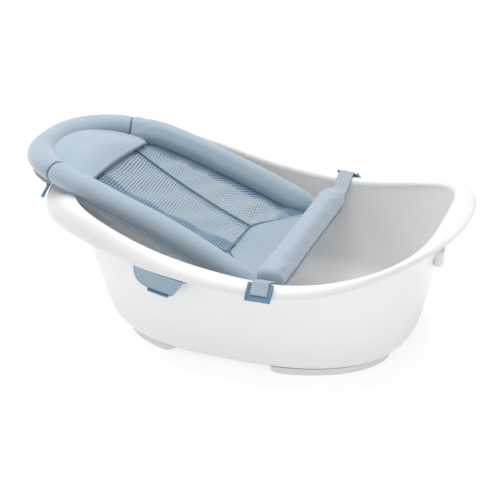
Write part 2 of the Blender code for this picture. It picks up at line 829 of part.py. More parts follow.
def make_clip(name, lip_matrix, width, length, upper, group, cutters, bead):
    """A moulded clip: a floor plate with two side walls, and the strap's end lying in it.

    The clip swings about the strap's fold at its upper end, where its parent empty is.
    """
    empty = bpy.data.objects.new(name + "_axis", None)
    empty.matrix_world = lip_matrix
    group.objects.link(empty)
    plastic = material("clip_plastic", CLIP_BLUE, 0.4)
    middle = length / 2 - upper
    plate = box_mesh(name, (width, length, 0.0026), (0.0, middle, 0.0013), 0.0006)
    clip = add_object(name, plate, group, plastic, empty)
    for side, word in ((-1, "a"), (1, "b")):
        part_name = f"{name}_wall_{word}"
        place = (side * (width / 2 - 0.0016), middle, 0.0035)
        wall = box_mesh(part_name, (0.0030, length - 0.001, 0.0064), place, 0.0006)
        boolean(clip, add_object(part_name, wall, cutters, parent=empty, cutter=True), "UNION")
    if bead:
        shape = cylinder_mesh(name + "_bead", 0.0032, width * 0.7, "X", (0.0, middle + length / 2 + 0.0012, 0.0024), 12)
        boolean(clip, add_object(name + "_bead", shape, cutters, parent=empty, cutter=True), "UNION")
    strap_width = width - 0.0095
    strap_length = length * 0.62
    start = -upper + 0.0012
    place = (0.0, start + strap_length / 2, 0.0026 + GAP + STRAP_THICKNESS / 2)
    end = box_mesh(name.replace("clip", "strap_end"), (strap_width, strap_length, STRAP_THICKNESS), place, 0.0003)
    add_object(name.replace("clip", "strap_end"), end, group, material("webbing", WEBBING, 0.9), empty)
    return empty


def make_clips(group, cutters):
    webbing = material("webbing", WEBBING, 0.9)
    for side, word in ((-1, "near"), (1, "far")):
        turn = math.radians(37.0)
        matrix = lip_frame(rim_angle_at(FRONT_CLIP_X, side, turn), turn, 0.0014)
        width, length = FRONT_CLIP_SIZE
        make_clip("clip_front_" + word, matrix, width, length, 0.013, group, cutters, False)
        line = [
            Vector((BAR_X + 0.004, side * 0.1862, 0.1790)),
            Vector((BAR_X + 0.004, side * 0.1960, 0.1850)),
            Vector((BAR_X + 0.004, side * 0.2080, 0.1912)),
            Vector((BAR_X + 0.0045, side * 0.2170, 0.1950)),
            matrix @ Vector((0.0, -0.0138, 0.0037)),
        ]
        across = [Vector((1.0, 0.0, 0.0))] * len(line)
        ribbon("strap_front_" + word, line, across, 0.028, STRAP_THICKNESS, group, webbing)
    for side, word in ((-1, "near"), (1, "far")):
        angle = math.radians(180.0 - side * HEAD_CLIP_ANGLE)
        matrix = lip_frame(angle, math.radians(24.0), 0.0012)
        width, length = HEAD_CLIP_SIZE
        make_clip("clip_head_" + word, matrix, width, length, 0.012, group, cutters, True)
        upper_end = matrix @ Vector((0.0, -0.0135, 0.0036))
        outward = Vector((upper_end.x, upper_end.y, 0.0)).normalized()
        along = Vector((-outward.y, outward.x, 0.0))
        top = Vector((-0.3450, side * 0.0850, 0.2645))
        line = [
            top,
            top.lerp(upper_end, 0.35) + outward * 0.007,
            top.lerp(upper_end, 0.75) + outward * 0.006,
            upper_end,
        ]
        ribbon("strap_head_" + word, line, [along] * 4, 0.018, STRAP_THICKNESS, group, webbing)


def centre_all(collections):
    """Moves every object that has no parent along X, so that the whole is centred on the origin."""
    for members in collections:
        for item in members.objects:
            if item.parent is None:
                item.location.x += CENTRE_X


def main():
    clear_scene()
    group = collection("baby_bathtub")
    cutters = collection("cutters")
    make_tub(group, cutters)
    make_pads(group)
    make_drain(group)
    make_flap(group, cutters)
    make_frame(group)
    make_ferrules(group, cutters)
    make_sleeves(group, cutters)
    make_welts(group)
    make_mesh_panels(group)
    make_pillow(group)
    make_cushion(group, cutters)
    make_clips(group, cutters)
    centre_all((group, cutters))


main()
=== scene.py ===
"""Looks of a baby bathtub: a moulded white basin with a padded net sling clipped over its rim.

Metres, +Z up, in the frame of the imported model. Shapes are worked out about the middle of the basin.
The basin follows the formulas of the CAD source at a finer pitch; the sling's padding is fuller than its
CAD solids. Each finished mesh is moved along X to the middle of the whole object when it is delivered.
"""

from __future__ import annotations

import logging
import math
from collections.abc import Callable, Sequence
from dataclasses import dataclass
from enum import Enum

import bmesh
import bpy
import numpy as np
from mathutils import Matrix, Vector


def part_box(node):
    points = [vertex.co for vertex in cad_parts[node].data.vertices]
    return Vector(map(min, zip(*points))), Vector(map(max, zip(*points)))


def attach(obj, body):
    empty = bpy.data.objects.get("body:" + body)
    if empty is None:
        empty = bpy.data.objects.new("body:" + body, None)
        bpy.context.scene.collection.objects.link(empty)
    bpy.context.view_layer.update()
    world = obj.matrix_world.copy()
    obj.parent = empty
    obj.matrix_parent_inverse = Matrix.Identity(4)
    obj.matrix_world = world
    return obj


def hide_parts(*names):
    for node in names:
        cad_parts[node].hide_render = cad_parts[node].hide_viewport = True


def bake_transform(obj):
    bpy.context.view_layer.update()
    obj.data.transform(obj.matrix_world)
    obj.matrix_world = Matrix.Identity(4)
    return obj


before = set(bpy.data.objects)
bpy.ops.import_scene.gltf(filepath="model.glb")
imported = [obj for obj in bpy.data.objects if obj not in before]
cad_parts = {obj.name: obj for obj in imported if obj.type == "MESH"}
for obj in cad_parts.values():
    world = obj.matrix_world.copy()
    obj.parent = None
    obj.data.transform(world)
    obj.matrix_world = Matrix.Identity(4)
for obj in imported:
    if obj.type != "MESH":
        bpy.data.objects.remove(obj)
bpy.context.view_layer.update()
log = logging.getLogger("bathtub")

DRAIN_X = 0.165
MIDDLE_X = sum(corner.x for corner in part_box("drain_seat")) / 2 - DRAIN_X

Colour = tuple[float, float, float]
Rows = list[list[Vector]]
UP = Vector((0.0, 0.0, 1.0))


class Side(Enum):
    """The two long sides: the near one lies at -Y and the far one at +Y."""

    NEAR = -1
    FAR = 1

    @property
    def word(self) -> str:
        """The side's name as it stands in the node names."""
        return self.name.lower()


def hex_colour(code: str) -> Colour:
    """Turns a display colour into scene-linear values.

    Args:
        code: Six hexadecimal digits.

    Returns:
        Red, green and blue, from 0 to 1, in linear light.
    """
    shares = [int(code[i : i + 2], 16) / 255 for i in (0, 2, 4)]
    return tuple(s / 12.92 if s <= 0.04045 else ((s + 0.055) / 1.055) ** 2.4 for s in shares)


def shade(colour: Colour, factor: float) -> Colour:
    """A colour made darker or lighter by a factor."""
    return tuple(min(1.0, channel * factor) for channel in colour)


# Shader building


class Sock:
    """A node's output whose arithmetic adds Math nodes to its graph."""

    def __init__(self, graph: Graph, socket: bpy.types.NodeSocket) -> None:
        """Wraps an output socket of a graph."""
        self.graph = graph
        self.socket = socket

    def math(self, operation: str, *values: Sock | float) -> Sock:
        """Adds one Math node on the given values."""
        return self.graph.node("ShaderNodeMath", {"operation": operation}, dict(enumerate(values)))

    def __add__(self, other: Sock | float) -> Sock:
        """Self plus other."""
        return self.math("ADD", self, other)

    __radd__ = __add__

    def __sub__(self, other: Sock | float) -> Sock:
        """Self minus other."""
        return self.math("SUBTRACT", self, other)

    def __mul__(self, other: Sock | float) -> Sock:
        """Self times other."""
        return self.math("MULTIPLY", self, other)

    __rmul__ = __mul__

    def sine(self) -> Sock:
        """The sine of an angle in radians."""
        return self.math("SINE", self)

    def clamp(self) -> Sock:
        """The value held between 0 and 1."""
        return self.math("MINIMUM", self.math("MAXIMUM", self, 0.0), 1.0)


class Graph:
    """The node tree of one material, around its Principled shader."""

    def __init__(self, name: str) -> None:
        """Makes an empty material of this name."""
        self.material = bpy.data.materials.new(name)
        self.material.use_nodes = True
        self.tree = self.material.node_tree
        self.shader = self.tree.nodes["Principled BSDF"]

    def node(
        self, kind: str, settings: dict | None = None, sockets: dict | None = None, out: int | str = 0
    ) -> Sock:
        """Adds a node.

        Args:
            kind: The node's type.
            settings: Its properties.
            sockets: Values or outputs for its inputs, by name or index.
            out: The output to return.

        Returns:
            The chosen output.
        """
        made = self.tree.nodes.new(kind)
        for key, value in (settings or {}).items():
            setattr(made, key, value)
        for key, value in (sockets or {}).items():
            self.join(value, made.inputs[key])
        return Sock(self, made.outputs[out])

    def join(self, value: Sock | float | Sequence[float], target: bpy.types.NodeSocket) -> None:
        """Links an output to an input, or sets the input's value."""
        if isinstance(value, Sock):
            self.tree.links.new(value.socket, target)
        elif target.type == "RGBA" and len(value) == 3:
            target.default_value = (*value, 1.0)
        else:
            target.default_value = value

    def place(self) -> Sock:
        """The point on the piece, in metres."""
        return self.node("ShaderNodeTexCoord", out="Object")

    def axes(self, point: Sock) -> tuple[Sock, Sock, Sock]:
        """The three parts of a point."""
        split = self.node("ShaderNodeSeparateXYZ", sockets={0: point})
        outputs = split.socket.node.outputs
        return tuple(Sock(self, outputs[i]) for i in range(3))

    def noise(self, point: Sock, scale: float, detail: float = 2.0, roughness: float = 0.5) -> Sock:
        """Smooth noise from 0 to 1."""
        values = {"Vector": point, "Scale": scale, "Detail": detail, "Roughness": roughness}
        return self.node("ShaderNodeTexNoise", {"noise_dimensions": "3D"}, values, "Fac")

    def attribute(self, name: str) -> Sock:
        """A number stored on the mesh's points."""
        return self.node("ShaderNodeAttribute", {"attribute_name": name}, out="Fac")

    def mix(self, share: Sock | float, first: Sock | Colour, second: Sock | Colour) -> Sock:
        """A colour between two colours."""
        return self.node("ShaderNodeMix", {"data_type": "RGBA"}, {0: share, 6: first, 7: second}, 2)

    def feed(self, **values: Sock | float | Colour) -> None:
        """Gives the shader's inputs, with spaces of their names written as underscores."""
        for key, value in values.items():
            self.join(value, self.shader.inputs[key.replace("_", " ")])

    def bump(self, height: Sock, distance: float, strength: float = 1.0) -> None:
        """Feeds the shader's normal from a height from 0 to 1 that stands for a distance in metres."""
        values = {"Height": height, "Distance": distance, "Strength": strength}
        self.feed(Normal=self.node("ShaderNodeBump", sockets=values))


@dataclass(frozen=True)
class Moulded:
    """Moulded plastic or rubber: faint mottling, fine grain, and gloss that varies a little."""

    name: str
    colour: Colour
    roughness: float
    grain: float = 0.00003
    mottle: float = 0.97

    def material(self) -> bpy.types.Material:
        """Builds the finish."""
        graph = Graph(self.name)
        point = graph.place()
        cloud = graph.noise(point, 9.0, 3.0)
        graph.feed(
            Base_Color=graph.mix(cloud, shade(self.colour, self.mottle), self.colour),
            Roughness=self.roughness + 0.10 * (graph.noise(point, 35.0, 4.0) - 0.5),
            IOR=1.46,
        )
        graph.bump(graph.noise(point, 1500.0, 2.0), self.grain, 0.35)
        return graph.material


@dataclass(frozen=True)
class Knit:
    """Brushed jersey over foam: fine stitch columns, heathered yarn, and the sheen of short fibres."""

    name: str
    light: Colour
    dark: Colour
    pitch: float = 0.0011
    relief: float = 0.00016

    def material(self) -> bpy.types.Material:
        """Builds the finish."""
        graph = Graph(self.name)
        point = graph.place()
        x, y, z = graph.axes(point)
        turn = 2.0 * math.pi / self.pitch
        columns = ((x + 0.6 * z) * turn).sine() * ((y + 0.6 * z) * turn).sine() * 0.5 + 0.5
        yarn = graph.noise(point, 620.0, 3.0, 0.65)
        cloud = graph.noise(point, 24.0, 3.0)
        share = (cloud * 0.55 + yarn * 0.45 - 0.06 * columns).clamp()
        graph.feed(
            Base_Color=graph.mix(share, self.dark, self.light),
            Roughness=0.78 + 0.14 * yarn,
            Sheen_Weight=1.0,
            Sheen_Tint=(1.0, 0.96, 0.92),
            Sheen_Roughness=0.38,
        )
        graph.bump(columns * 0.7 + yarn * 0.3, self.relief, 0.55)
        return graph.material


@dataclass(frozen=True)
class Yarn:
    """Net yarn whose stored attribute leads from the open net's colour to a darker blue, painted shade that
    shows through the net beside the sleeves and seams.
    """

    name: str
    open_net: Colour
    doubled: Colour

    def material(self) -> bpy.types.Material:
        """Builds the finish."""
        graph = Graph(self.name)
        point = graph.place()
        fibre = graph.noise(point, 900.0, 2.0)
        cloud = graph.noise(point, 30.0, 3.0)
        # painted shade: the stored attribute, roughened by fibre noise, darkens the yarn where shade falls
        # through the net
        band = (graph.attribute("band") + 0.25 * (fibre - 0.5)).clamp()
        base = graph.mix(cloud, shade(self.open_net, 0.88), self.open_net)
        graph.feed(
            Base_Color=graph.mix(band, base, self.doubled),
            Roughness=0.62 + 0.2 * fibre,
            Sheen_Weight=0.15,
        )
        graph.bump(fibre, 0.00012, 0.5)
        return graph.material


@dataclass(frozen=True)
class Webbing:
    """Flat woven tape on its own UV map, in metres: warp ribs crossed by weft, and tweed flecks."""

    name: str
    light: Colour
    dark: Colour
    rib: float = 0.0016

    def material(self) -> bpy.types.Material:
        """Builds the finish."""
        graph = Graph(self.name)
        sheet = graph.node("ShaderNodeTexCoord", out="UV")
        across, along, _ = graph.axes(sheet)
        turn = 2.0 * math.pi / self.rib
        weave = (across * turn).sine() * (along * turn * 0.8).sine() * 0.5 + 0.5
        fleck = graph.noise(graph.place(), 1300.0, 2.0, 0.7)
        graph.feed(
            Base_Color=graph.mix((weave * 0.45 + fleck * 0.75 - 0.1).clamp(), self.dark, self.light),
            Roughness=0.85,
            Sheen_Weight=0.2,
        )
        graph.bump(weave * 0.7 + fleck * 0.3, 0.0003, 0.7)
        return graph.material


@dataclass(frozen=True)
class Metal:
    """Drawn steel wire or pin, with fine lengthwise scratches."""

    name: str
    colour: Colour
    roughness: float

    def material(self) -> bpy.types.Material:
        """Builds the finish."""
        graph = Graph(self.name)
        point = graph.place()
        scratch = graph.noise(point, 700.0, 4.0, 0.7)
        graph.feed(
            Base_Color=graph.mix(scratch, shade(self.colour, 0.85), self.colour),
            Roughness=self.roughness + 0.15 * (scratch - 0.5),
            Metallic=1.0,
        )
        graph.bump(scratch, 0.00002, 0.3)
        return graph.material


class Finishes:
    """Every finish of the object, built once."""

    def __init__(self) -> None:
        """Builds the materials."""
        self.white = Moulded("white_moulding", hex_colour("DEDEDE"), 0.40).material()
        self.pad = Moulded("white_foot", hex_colour("E2E2E2"), 0.6, 0.00006).material()
        self.seat = Moulded("drain_ring", hex_colour("E2E4E5"), 0.45).material()
        self.plug = Moulded("blue_rubber", hex_colour("5F86A0"), 0.6, 0.00008).material()
        self.flap = Moulded("pale_blue_moulding", hex_colour("839BA8"), 0.42, 0.00005).material()
        self.clip = Moulded("slate_blue_moulding", hex_colour("5B7F98"), 0.4, 0.00005).material()
        self.knit = Knit("padded_jersey", hex_colour("A3B2BD"), hex_colour("8EA1AF")).material()
        # the net's second colour is painted shade for its margins by the sleeves and seams
        self.net = Yarn("open_net", hex_colour("A9BCC8"), hex_colour("5D82A3")).material()
        # painted shade: a dark finish for the strips under the net's margins
        self.lining = Moulded("dark_lining", hex_colour("3E6385"), 0.85, 0.0001, 0.8).material()
        self.thread = Yarn("dark_thread", hex_colour("4C6F8D"), hex_colour("4C6F8D")).material()
        self.tape = Webbing("strap_tape", hex_colour("B0B9BF"), hex_colour("7A8D9A")).material()
        self.wire = Metal("coated_wire", hex_colour("A9ADB0"), 0.38).material()
        self.pin = Metal("hinge_pin", hex_colour("B9BCBF"), 0.28).material()


# Mesh building


def grid_mesh(name: str, rows: Rows, closed: bool = False, caps: bool = False) -> bpy.types.Mesh:
    """A surface through rows of equal length, with a UV map in metres.

    Args:
        name: The mesh's name.
        rows: The points, row by row.
        closed: Whether each row joins its own start, so that the rows are rings.
        caps: Whether the first and last rings are filled.

    Returns:
        The mesh, shaded smooth, with its faces pointing out where it is closed.
    """
    count, steps = len(rows[0]), len(rows[0]) - (0 if closed else 1)
    points = np.array([[tuple(p) for p in row] for row in rows])
    looped = np.concatenate([points, points[:, :1]], axis=1)
    across = np.concatenate(
        [[0.0], np.cumsum(np.linalg.norm(np.diff(looped[len(rows) // 2], axis=0), axis=1))]
    )
    middle = points[:, count // 4]
    along = np.concatenate([[0.0], np.cumsum(np.linalg.norm(np.diff(middle, axis=0), axis=1))])
    faces, maps = [], []
    for i in range(len(rows) - 1):
        for j in range(steps):
            k = (j + 1) % count
            faces.append((i * count + j, i * count + k, (i + 1) * count + k, (i + 1) * count + j))
            maps += [(across[j], along[i]), (across[j + 1], along[i])]
            maps += [(across[j + 1], along[i + 1]), (across[j], along[i + 1])]
    if caps:
        last = (len(rows) - 1) * count
        faces += [tuple(reversed(range(count))), tuple(range(last, last + count))]
        for ring in (reversed(range(count)), range(count)):
            turns = [2.0 * math.pi * j / count for j in ring]
            maps += [
                (across[-1] * math.cos(t) / math.tau, across[-1] * math.sin(t) / math.tau) for t in turns
            ]
    mesh = bpy.data.meshes.new(name)
    mesh.from_pydata([tuple(p) for row in rows for p in row], [], faces)
    layer = mesh.uv_layers.new(name="UVMap")
    layer.data.foreach_set("uv", np.array(maps, np.float32).ravel())
    if caps:
        work = bmesh.new()
        work.from_mesh(mesh)
        bmesh.ops.recalc_face_normals(work, faces=work.faces)
        work.to_mesh(mesh)
        work.free()
    mesh.shade_smooth()
    return mesh


def add_piece(name: str, mesh: bpy.types.Mesh, finish: bpy.types.Material | None = None) -> bpy.types.Object:
    """Links a mesh as an object of this name."""
    mesh.name = name
    made = bpy.data.objects.new(name, mesh)
    bpy.context.scene.collection.objects.link(made)
    if finish:
        mesh.materials.clear()
        mesh.materials.append(finish)
    return made


def plain(piece: bpy.types.Object, name: str | None = None) -> bpy.types.Object:
    """Applies every modifier of a piece.

    Args:
        piece: The object with live modifiers.
        name: A new name, if it changes.

    Returns:
        The same object on a plain mesh.
    """
    graph = bpy.context.evaluated_depsgraph_get()
    graph.update()
    mesh = bpy.data.meshes.new_from_object(piece.evaluated_get(graph), depsgraph=graph)
    old = piece.data
    piece.modifiers.clear()
    piece.data = mesh
    bpy.data.meshes.remove(old)
    mesh.name = piece.name = name or piece.name
    return piece


def sharpen(piece: bpy.types.Object, degrees: float = 38.0) -> bpy.types.Object:
    """Shades a piece smooth, with sharp edges where its faces turn by more than an angle."""
    piece.data.shade_smooth()
    piece.data.set_sharp_from_angle(angle=math.radians(degrees))
    return piece


def add_modifier(piece: bpy.types.Object, kind: str, **settings: object) -> bpy.types.Modifier:
    """Adds a modifier with these settings."""
    made = piece.modifiers.new(kind.title(), kind)
    for key, value in settings.items():
        setattr(made, key, value)
    return made


def subdivide(piece: bpy.types.Object, levels: int = 1) -> None:
    """Adds a Subdivision Surface modifier whose two levels match."""
    add_modifier(piece, "SUBSURF", levels=levels, render_levels=levels)


def round_edges(piece: bpy.types.Object, width: float, segments: int = 3, degrees: float = 40.0) -> None:
    """Adds a Bevel modifier on the edges sharper than an angle."""
    limits = {"limit_method": "ANGLE", "angle_limit": math.radians(degrees)}
    add_modifier(piece, "BEVEL", width=width, segments=segments, **limits)


def cut_or_join(piece: bpy.types.Object, tool: bpy.types.Object, operation: str) -> None:
    """Runs one Boolean and removes its tool."""
    add_modifier(piece, "BOOLEAN", operation=operation, object=tool, solver="EXACT")
    plain(piece)
    bpy.data.objects.remove(tool)


def block(name: str, size: Sequence[float], centre: Sequence[float], rounding: float) -> bpy.types.Mesh:
    """A box with rounded edges, about a centre."""
    work = bmesh.new()
    place = Matrix.Translation(centre) @ Matrix.Diagonal((*size, 1.0))
    bmesh.ops.create_cube(work, size=1.0, matrix=place)
    bmesh.ops.bevel(work, geom=work.edges, offset=rounding, segments=4, affect="EDGES", profile=0.5)
    mesh = bpy.data.meshes.new(name)
    work.to_mesh(mesh)
    work.free()
    return mesh


def rod_mesh(
    name: str, radius: float, length: float, centre: Sequence[float] = (0.0, 0.0, 0.0), sides: int = 32
) -> bpy.types.Mesh:
    """A closed rod along X, about a centre."""
    xs = (-length / 2, length / 2)
    turns = [math.tau * i / sides for i in range(sides)]
    rows = [
        [Vector((x, radius * math.cos(t), radius * math.sin(t))) + Vector(centre) for t in turns] for x in xs
    ]
    return grid_mesh(name, rows, closed=True, caps=True)


def turned_mesh(
    name: str, profile: Sequence[tuple[float, float]], centre: Vector, sides: int = 64
) -> bpy.types.Mesh:
    """A closed solid turned about Z from (radius, height) points; a radius of 0 closes it on the axis."""
    turns = [math.tau * i / sides for i in range(sides)]
    tiny = 0.00005
    ring = profile[0][0] > 0
    points = list(profile) + ([profile[0]] if ring else [])
    rows = [
        [Vector((max(r, tiny) * math.cos(t), max(r, tiny) * math.sin(t), z)) + centre for t in turns] for r,
        z in points
    ]
    mesh = grid_mesh(name, rows, closed=True, caps=not ring)
    work = bmesh.new()
    work.from_mesh(mesh)
    bmesh.ops.remove_doubles(work, verts=work.verts, dist=2.5 * tiny if not ring else 1e-6)
    bmesh.ops.recalc_face_normals(work, faces=work.faces)
    work.to_mesh(mesh)
    work.free()
    return mesh


def even_path(points: Sequence[Vector], count: int) -> list[Vector]:
    """The same polyline with its points at equal spacing."""
    lengths = [0.0]
    for a, b in zip(points, points[1:]):
        lengths.append(lengths[-1] + (b - a).length)
    result, k = [], 0
    for i in range(count):
        goal = lengths[-1] * i / (count - 1)
        while k < len(lengths) - 2 and lengths[k + 1] < goal:
            k += 1
        span = lengths[k + 1] - lengths[k]
        share = (goal - lengths[k]) / span if span else 0.0
        result.append(points[k].lerp(points[k + 1], min(1.0, max(0.0, share))))
    return result


def rounded_path(points: Sequence[Vector], count: int, passes: int = 3) -> list[Vector]:
    """A smooth line along a polyline: its corners are cut a few times, and its ends stay."""
    line = list(points)
    for _ in range(passes):
        cut = [line[0]]
        for a, b in zip(line, line[1:]):
            cut += [a.lerp(b, 0.25), a.lerp(b, 0.75)]
        line = [*cut, line[-1]]
    return even_path(line, count)


def directions(path: Sequence[Vector]) -> list[Vector]:
    """The unit direction of a path at each of its points."""
    last = len(path) - 1
    return [(path[min(i + 1, last)] - path[max(i - 1, 0)]).normalized() for i in range(len(path))]


def sweep(path: Sequence[Vector], section: Callable[[int], Sequence[tuple[float, float]]]) -> Rows:
    """Rings square to a path.

    Args:
        path: The middle line.
        section: Gives the ring at a point of the path, as (outward, upward) distances. Outward is to
            the right of the path's direction.

    Returns:
        One ring for each point.
    """
    rows = []
    for i, (point, ahead) in enumerate(zip(path, directions(path))):
        right = ahead.cross(UP).normalized()
        above = right.cross(ahead)
        rows.append([point + right * a + above * b for a, b in section(i)])
    return rows


# Geometry Nodes


class GrowTree:
    """A Geometry Nodes tree with named inputs, run on a source mesh by a modifier."""

    def __init__(self, name: str, inputs: dict[str, str]) -> None:
        """Makes the tree's interface.

        Args:
            name: The tree's name.
            inputs: The socket type of each named input.
        """
        self.tree = bpy.data.node_groups.new(name, "GeometryNodeTree")
        sockets = self.tree.interface
        sockets.new_socket("Geometry", in_out="INPUT", socket_type="NodeSocketGeometry")
        self.identifiers = {
            key: sockets.new_socket(
                key, in_out="INPUT", socket_type=kind
            ).identifier for key, kind in inputs.items()
        }
        sockets.new_socket("Geometry", in_out="OUTPUT", socket_type="NodeSocketGeometry")
        self.start = self.tree.nodes.new("NodeGroupInput").outputs
        self.end = self.tree.nodes.new("NodeGroupOutput").inputs[0]

    def node(
        self, kind: str, settings: dict | None = None, sockets: dict | None = None
    ) -> bpy.types.bpy_prop_collection:
        """Adds a node and returns its outputs; settings come before the values or links of its inputs."""
        made = self.tree.nodes.new(kind)
        for key, value in (settings or {}).items():
            setattr(made, key, value)
        for key, value in (sockets or {}).items():
            if isinstance(value, bpy.types.NodeSocket):
                self.tree.links.new(value, made.inputs[key])
            else:
                made.inputs[key].default_value = value
        return made.outputs

    def maths(self, operation: str, *values: bpy.types.NodeSocket | float) -> bpy.types.NodeSocket:
        """One Math node on numbers."""
        return self.node("ShaderNodeMath", {"operation": operation}, dict(enumerate(values)))[0]

    def close(self, geometry: bpy.types.NodeSocket) -> None:
        """Ends the tree: instances are made real and take the Finish input."""
        real = self.node("GeometryNodeRealizeInstances", sockets={0: geometry})[0]
        dressed = self.node(
            "GeometryNodeSetMaterial", sockets={"Geometry": real, "Material": self.start["Finish"]}
        )[0]
        self.tree.links.new(dressed, self.end)

    def grow(self, name: str, source: bpy.types.Mesh, **values: object) -> bpy.types.Object:
        """Runs the tree on a mesh.

        Args:
            name: The piece's name.
            source: The mesh that the tree starts from.
            **values: The named inputs, spaces written as underscores.

        Returns:
            The result as a plain mesh object.
        """
        piece = add_piece(name, source)
        modifier = piece.modifiers.new("Grow", "NODES")
        modifier.node_group = self.tree
        for key, value in values.items():
            modifier[self.identifiers[key.replace("_", " ")]] = value
        return plain(piece, name)


class NetTree(GrowTree):
    """A hexagonal net laid on a surface by its UV map, as flat strands without thickness."""

    def __init__(self) -> None:
        """Builds the tree."""
        inputs = {"Along": "NodeSocketInt", "Across": "NodeSocketInt", "Hole": "NodeSocketFloat"}
        super().__init__("net_tree", {**inputs, "Finish": "NodeSocketMaterial"})
        along, across = self.start["Along"], self.start["Across"]
        sizes = {"Size X": 1.0, "Size Y": 1.0, "Vertices X": along, "Vertices Y": across}
        grid = self.node("GeometryNodeMeshGrid", sockets=sizes)[0]
        index = self.node("GeometryNodeInputIndex")[0]
        row = self.maths("FLOOR", self.maths("DIVIDE", index, across))
        odd = self.maths("MODULO", row, 2.0)
        half = self.maths("DIVIDE", self.maths("SUBTRACT", odd, 0.5), self.maths("MULTIPLY", across, 2.0))
        shift = self.node("ShaderNodeCombineXYZ", sockets={"Y": half})[0]
        lattice = self.node("GeometryNodeSetPosition", sockets={"Geometry": grid, "Offset": shift})[0]
        shortest = {"quad_method": "SHORTEST_DIAGONAL"} if hasattr(
            bpy.types, "GeometryNodeTriangulate"
        ) else {}
        triangles = self.node("GeometryNodeTriangulate", shortest, {"Mesh": lattice})[0]
        cells = self.node("GeometryNodeDualMesh", sockets={"Mesh": triangles, "Keep Boundaries": False})[0]
        sides = {"Mesh": cells, "Offset Scale": 0.0, "Individual": True}
        strands = self.node("GeometryNodeExtrudeMesh", {"mode": "FACES"}, sides)
        inset = {"Geometry": strands["Mesh"], "Selection": strands["Top"], "Scale": self.start["Hole"]}
        holes = self.node("GeometryNodeScaleElements", {"domain": "FACE"}, inset)[0]
        away = {"Geometry": holes, "Selection": strands["Top"]}
        flat = self.node("GeometryNodeDeleteGeometry", {"domain": "FACE", "mode": "ALL"}, away)[0]
        here = self.node("GeometryNodeInputPosition")[0]
        uv = self.node("ShaderNodeVectorMath", {"operation": "ADD"}, {0: here, 1: (0.5, 0.5, 0.0)})[0]
        own_map = self.node(
            "GeometryNodeInputNamedAttribute", {"data_type": "FLOAT_VECTOR"}, {"Name": "share"}
        )[0]
        read = {"Mesh": self.start["Geometry"], "Value": here, "Source UV Map": own_map, "Sample UV": uv}
        made = self.tree.nodes.new("GeometryNodeSampleUVSurface")
        made.data_type = "FLOAT_VECTOR"
        for socket in made.inputs:
            if socket.identifier in read:
                self.tree.links.new(read[socket.identifier], socket)
        place = {"Geometry": flat, "Selection": made.outputs["Is Valid"], "Position": made.outputs["Value"]}
        self.close(self.node("GeometryNodeSetPosition", sockets=place)[0])


class StitchTree(GrowTree):
    """Short rounded stitches along a line of edges, turned from its direction by an angle."""

    def __init__(self) -> None:
        """Builds the tree."""
        inputs = {"Pitch": "NodeSocketFloat", "Length": "NodeSocketFloat", "Thread": "NodeSocketFloat"}
        super().__init__(
            "stitch_tree", {**inputs, "Angle": "NodeSocketFloat", "Finish": "NodeSocketMaterial"}
        )
        line = self.node("GeometryNodeMeshToCurve", sockets={"Mesh": self.start["Geometry"]})[0]
        resample = self.tree.nodes.new("GeometryNodeResampleCurve")
        resample.mode = "LENGTH"
        self.tree.links.new(line, resample.inputs["Curve"])
        self.tree.links.new(self.start["Pitch"], resample.inputs["Length"])
        ball = self.node("GeometryNodeMeshUVSphere", sockets={"Segments": 6, "Rings": 5, "Radius": 0.5})[0]
        thread = self.start["Thread"]
        size = self.node(
            "ShaderNodeCombineXYZ", sockets={"X": thread, "Y": thread, "Z": self.start["Length"]}
        )[0]
        stitch = self.node("GeometryNodeTransform", sockets={"Geometry": ball, "Scale": size})[0]
        soft = self.node("GeometryNodeSetShadeSmooth", sockets={"Geometry": stitch})[0]
        tangent = self.node("GeometryNodeInputTangent")[0]
        axis = (0.0, 0.0, 1.0)
        turned = {"Vector": tangent, "Axis": axis, "Angle": self.start["Angle"]}
        aim = self.node("ShaderNodeVectorRotate", {"rotation_type": "AXIS_ANGLE"}, turned)[0]
        rotation = self.node("FunctionNodeAlignRotationToVector", {"axis": "Z"}, {"Vector": aim})[0]
        spread = {"Points": resample.outputs[0], "Instance": soft, "Rotation": rotation}
        self.close(self.node("GeometryNodeInstanceOnPoints", sockets=spread)[0])


class PipingTree(GrowTree):
    """A round cord along a line of edges, open or joined."""

    def __init__(self) -> None:
        """Builds the tree."""
        inputs = {"Radius": "NodeSocketFloat", "Sides": "NodeSocketInt", "Finish": "NodeSocketMaterial"}
        super().__init__("piping_tree", inputs)
        line = self.node("GeometryNodeMeshToCurve", sockets={"Mesh": self.start["Geometry"]})[0]
        ring = {"Resolution": self.start["Sides"], "Radius": self.start["Radius"]}
        circle = self.node("GeometryNodeCurvePrimitiveCircle", sockets=ring)[0]
        swept = {"Curve": line, "Profile Curve": circle, "Fill Caps": True}
        cord = self.node("GeometryNodeCurveToMesh", sockets=swept)[0]
        self.close(self.node("GeometryNodeSetShadeSmooth", sockets={"Geometry": cord})[0])


def edge_line(name: str, lines: Sequence[Sequence[Vector]], joined: bool = False) -> bpy.types.Mesh:
    """A mesh of edges along some lines, for a tree to follow."""
    points, edges = [], []
    for line in lines:
        start = len(points)
        points += [tuple(p) for p in line]
        edges += [(start + i, start + i + 1) for i in range(len(line) - 1)]
        if joined:
            edges.append((len(points) - 1, start))
    mesh = bpy.data.meshes.new(name)
    mesh.from_pydata(points, edges, [])
    return mesh


